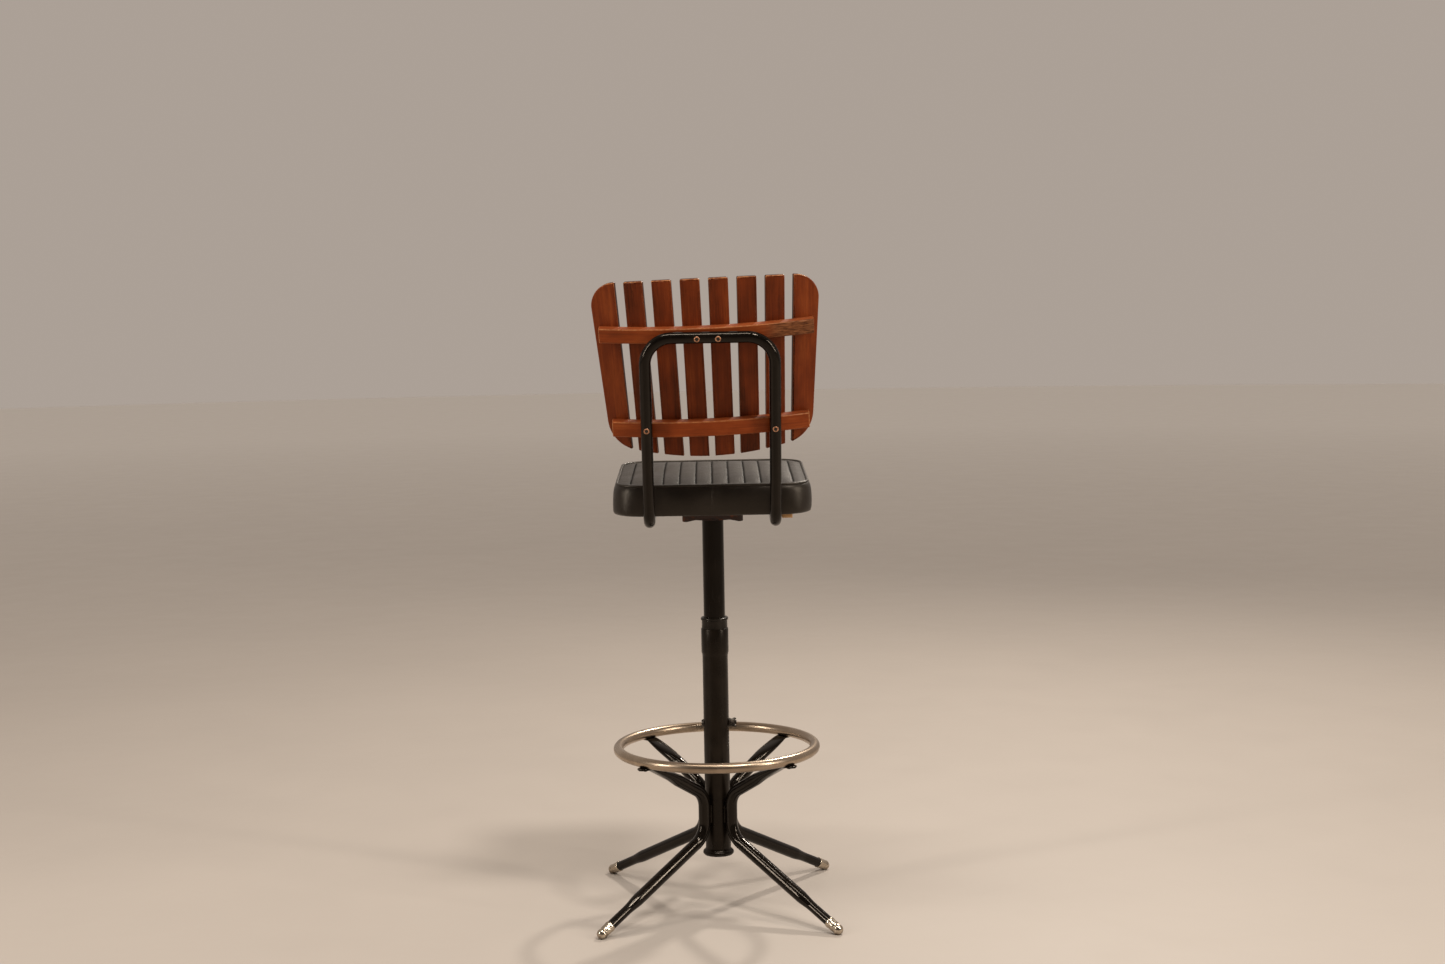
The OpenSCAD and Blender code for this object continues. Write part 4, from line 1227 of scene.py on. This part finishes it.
class Board:
    """Flat board cut to an outline: four sides, and a grid of faces laid between them."""

    ACROSS = 6
    ALONG = 44

    def __init__(self, outline):
        count = len(outline)
        if sum(outline[i - 1].cross(outline[i]) for i in range(count)) < 0:
            outline = outline[::-1]
        corners = [max(range(count), key=lambda i: outline[i].dot(Vector(way)))
                   for way in ((-1, -1), (1, -1), (1, 1), (-1, 1))]
        self.loop = []
        self.sides = []
        for k, start in enumerate(corners):
            end = corners[(k + 1) % 4]
            span = (end - start) % count
            corner_to_corner = [outline[(start + i) % count] for i in range(span + 1)]
            side = respace(corner_to_corner, self.ALONG if k % 2 else self.ACROSS)
            self.sides.append(len(side))
            self.loop += side[:-1]
        total = len(self.loop)
        self.inward = []
        for i in range(total):
            along = (self.loop[(i + 1) % total] - self.loop[i - 1]).normalized()
            self.inward.append(Vector((-along.y, along.x)))

    def ring(self, inset):
        return [p + n * inset for p, n in zip(self.loop, self.inward)]

    def grid(self, inset):
        """Points by (across, along), blended from the four sides."""
        ring = self.ring(inset)
        wide, tall = self.sides[0], self.sides[1]
        low = ring[:wide]
        right = ring[wide - 1:wide + tall - 1]
        top = ring[wide + tall - 2:2 * wide + tall - 2][::-1]
        left = (ring[2 * wide + tall - 3:] + ring[:1])[::-1]
        rows = []
        for i in range(wide):
            s = (low[i] - low[0]).length / (low[-1] - low[0]).length
            row = []
            for j in range(tall):
                t = (left[j] - left[0]).length / (left[-1] - left[0]).length
                blend = low[i].lerp(top[i], t) + left[j].lerp(right[j], s)
                row.append(blend - low[0].lerp(low[-1], s).lerp(top[0].lerp(top[-1], s), t))
            rows.append(row)
        return rows

    def ring_index(self, i, j):
        """Place in the ring of a grid point on the rim, or None inside it."""
        wide, tall = self.sides[0], self.sides[1]
        if j == 0:
            return i
        if i == wide - 1:
            return wide - 1 + j
        if j == tall - 1:
            return 2 * wide + tall - 3 - i
        if i == 0:
            return len(self.loop) - j
        return None


# A rounded edge: its turns, and how far past it the faces get a row of points to stay flat
EDGE_TURNS = [pi / 8 * k for k in range(5)]
EDGE_SUPPORT = 1.2 * MM


def board_stations(thick, edge):
    """(inset, depth, how much of an edge) round a board's rounded rim, from its front to its back."""
    stations = [(edge + EDGE_SUPPORT, 0.0, 0.0)]
    for turn in EDGE_TURNS:
        stations.append((edge * (1 - sin(turn)), edge * (1 - cos(turn)), sin(2 * turn)))
    return stations + [(inset, thick - depth, worn) for inset, depth, worn in reversed(stations)]


def make_slat(number, outline):
    place = number - (SLAT_COUNT + 1) / 2
    side = copysign(1, place)
    outer = abs(place) > SLAT_COUNT / 2 - 1
    length = (PANEL_TOP_Z - PANEL_LOW_Z) / cos(PANEL_LEAN)
    middle_x = place * (SLAT_PITCH_TOP + SLAT_PITCH_LOW) / 2
    seat_r = BATTEN_R - 0.5 * MM
    swing = asin(middle_x / seat_r)
    fan = atan(place * (SLAT_PITCH_TOP - SLAT_PITCH_LOW) / length)
    middle_w = panel_height(middle_x, (PANEL_TOP_Z + PANEL_LOW_Z) / 2)
    shift = Vector((seat_r * sin(swing), seat_r * cos(swing) - BATTEN_R - BATTEN_T, middle_w))
    turned = Matrix.Rotation(-swing, 3, "Z") @ Matrix.Rotation(fan, 3, "Y")

    def flat(x, w):
        dx = (x - shift.x) / cos(swing)
        dw = w - shift.z
        return (dx * cos(fan) - dw * sin(fan), dx * sin(fan) + dw * cos(fan))

    ends = sorted([-side * SLAT_W / 2, side * (SLAT_W / 2 + (OUTER_EXTRA if outer else 0))])
    cut = [flat(x, w) for x, w in outline]
    cut = clip(clip(cut, ends[1], 1), ends[0], -1)
    board = Board(soften(cut, 3 * MM))
    top = max(p.y for p in board.loop)
    low = min(p.y for p in board.loop)
    apart = Vector((number * 0.371, number * 0.193, number * 1.37))
    tone = 0.1 if outer else (-0.02, 0.0, -0.07, -0.12)[number % 4]
    shape = Shape()

    def lay(points, depth, worn, shade=0.0):
        spots, grain, edges, tones = [], [], [], []
        for p in points:
            warp = 0.3 * MM * ripple(p.x * 9, p.y * 11, number)
            spots.append(panel_point(*(shift + turned @ Vector((p.x, depth - SLAT_T + warp, p.y)))))
            grain.append(Vector((p.x, depth, p.y)) + apart)
            at_top = smooth((p.y - top + 9 * MM) / (8 * MM))
            at_low = smooth((low + 9 * MM - p.y) / (8 * MM))
            edges.append(worn * max(0.22, 1.3 * at_top, 0.5 * at_low))
            tones.append(tone - shade + 0.08 * ripple(p.x * 20, p.y * 6, number * 3))
        return shape.ring(spots, grain=grain, edge=edges, tone=tones)

    stations = board_stations(SLAT_T, 1.5 * MM)
    rims = []
    for inset, depth, worn in stations:
        # The side faces are painted darker: partly deeper stain, partly painted shade.
        side_shade = 0.5 if inset < 0.1 * MM else 0.0
        rims.append(lay(board.ring(inset), depth, worn, side_shade))
    shape.skin_all(rims)
    for rim, depth in ((rims[0], 0.0), (rims[-1], SLAT_T)):
        rows = board.grid(stations[0][0])
        wide, tall = len(rows), len(rows[0])
        inner = lay([p for row in rows[1:-1] for p in row[1:-1]], depth, 0.0)

        def at(i, j):
            place_on_rim = board.ring_index(i, j)
            return inner[(i - 1) * (tall - 2) + j - 1] if place_on_rim is None else rim[place_on_rim]

        shape.faces += [(at(i, j), at(i + 1, j), at(i + 1, j + 1), at(i, j + 1))
                        for i in range(wide - 1) for j in range(tall - 1)]
    shape.fields["sawn"] = [0.0] * len(shape.points)
    add_piece("slat_board_%d" % number, shape, "seat", "slat", ["slat_%d" % number])


def batten_loop(height, inset):
    """Section of a batten: (depth from its middle, height, how much of an edge)."""
    loop = []
    for start, turned in rounded_corners(BATTEN_T / 2 - inset, height / 2 - inset, 2.4 * MM, 4):
        way = radians(start)
        into = Vector((-sin(way), cos(way))) * EDGE_SUPPORT
        out = Vector((cos(way), sin(way))) * EDGE_SUPPORT
        loop.append((*(Vector(turned[0]) - into), 0.0))
        loop += [(a, b, sin(pi * k / 4)) for k, (a, b) in enumerate(turned)]
        loop.append((*(Vector(turned[-1]) - out), 0.0))
    return loop


def make_batten(name, size, rough_end):
    width, height, middle = size
    half = width / 2
    edge = 1.6 * MM
    stations = [(-half, edge + EDGE_SUPPORT, 0.0)]
    stations += [(-half + edge * (1 - cos(t)), edge * (1 - sin(t)), sin(2 * t))
                 for t in EDGE_TURNS]
    inner = half - edge - 1 * MM
    even = [(between(-inner, inner, k / 48), 0.0, 0.0) for k in range(49)]
    stations += even + [(-x, inset, worn) for x, inset, worn in reversed(stations)]
    shape = Shape()
    made = []
    seed = 40.0 if rough_end else 60.0
    for x, inset, end_worn in stations:
        spots, grain, edges, sawn, tones = [], [], [], [], []
        for depth, rise, corner_worn in batten_loop(height, inset):
            radius = BATTEN_R + BATTEN_T / 2 + depth
            wobble = 0.25 * MM * ripple(x * 12, rise * 40, seed)
            y = sqrt((radius + wobble) ** 2 - x * x) - BATTEN_R - BATTEN_T
            spots.append(panel_point(x, y, middle + rise + wobble))
            grain.append(Vector((depth + seed * 0.01, rise + seed * 0.02, x + seed)))
            back_face = smooth((depth - BATTEN_T / 2 + 3 * MM) / (2 * MM))
            upper_face = smooth((rise - height / 2 + 3 * MM) / (2 * MM))
            at_end = smooth((-x - 92 * MM) / (40 * MM)) if rough_end else 0.0
            on_top = upper_face * (0.275 if rough_end else 0.1925)
            sawn.append(min(1.0, max(at_end * between(0.45, 1, back_face), on_top)))
            worn = max(corner_worn * (0.85 if rise > 0 else 0.3), end_worn * 1.4)
            edges.append(worn * (1 if depth > 0 else 0.6))
            tones.append(0.05 * ripple(x * 7, rise * 30, seed))
        made.append(shape.ring(spots, grain=grain, edge=edges, sawn=sawn, tone=tones))
    shape.skin_all(made, CAPPED)
    add_piece(name + "_rail", shape, "seat", "batten", [name])


def make_panel_fixings():
    """Copper-coloured cup washers with the slotted screw heads set down in them."""
    cups = Shape()
    heads = Shape()
    axis = Vector((0, cos(FRAME_LEAN), -sin(FRAME_LEAN)))
    low_z = 939 * MM
    places = [(22.4 * MM, FRAME_TOP_Z), (-15 * MM, FRAME_TOP_Z), (FRAME_HALF, low_z), (-FRAME_HALF, low_z)]
    cup = [(2.1, -1.8), (5.3, -1.8), (5.3, 0.2), (5.1, 0.75), (4.5, 1.15), (3.9, 1.1), (3.2, 0.5),
           (2.1, -0.1)]
    head = [(3.3, -0.6), (3.3, 0.25), (2.9, 0.6), (1.6, 0.8), (0.3, 0.85)]
    for x, z in places:
        seat = Vector((x, upright_y(z), z)) + axis * FRAME_R
        cups.rings(lathe(in_mm(cup), 28, seat, axis), OPEN)
        heads.rings(lathe(in_mm(head), 24, seat, axis))
    add_piece("cups", cups, "seat", "copper", ["cup_washers"])
    add_piece("cup_screws", heads, "seat", "dark_steel", ["back_screws"])


def add_floor():
    mesh = new_mesh("floor", Shape(lathe([(r, 0.0) for r in (0.2, 1, 3, 8, 26)], 64), (True, False)))
    mesh.materials.append(pale_floor())
    new_object("floor", mesh)


def make_chair():
    paint_kept_nodes()
    make_column()
    make_bushing()
    for number in range(1, 5):
        make_leg(number)
        make_cap(number)
    make_ring()
    make_wing_nut()
    cushion = make_cushion()
    make_welt()
    make_boxing_seam(cushion)
    make_channel_stitches(cushion)
    make_cleat()
    make_back_frame()
    outline = panel_outline()
    for number in range(1, SLAT_COUNT + 1):
        make_slat(number, outline)
    make_batten("batten_upper", UPPER_BATTEN, True)
    make_batten("batten_lower", LOWER_BATTEN, False)
    make_panel_fixings()


add_camera()
add_light()
add_floor()
make_chair()
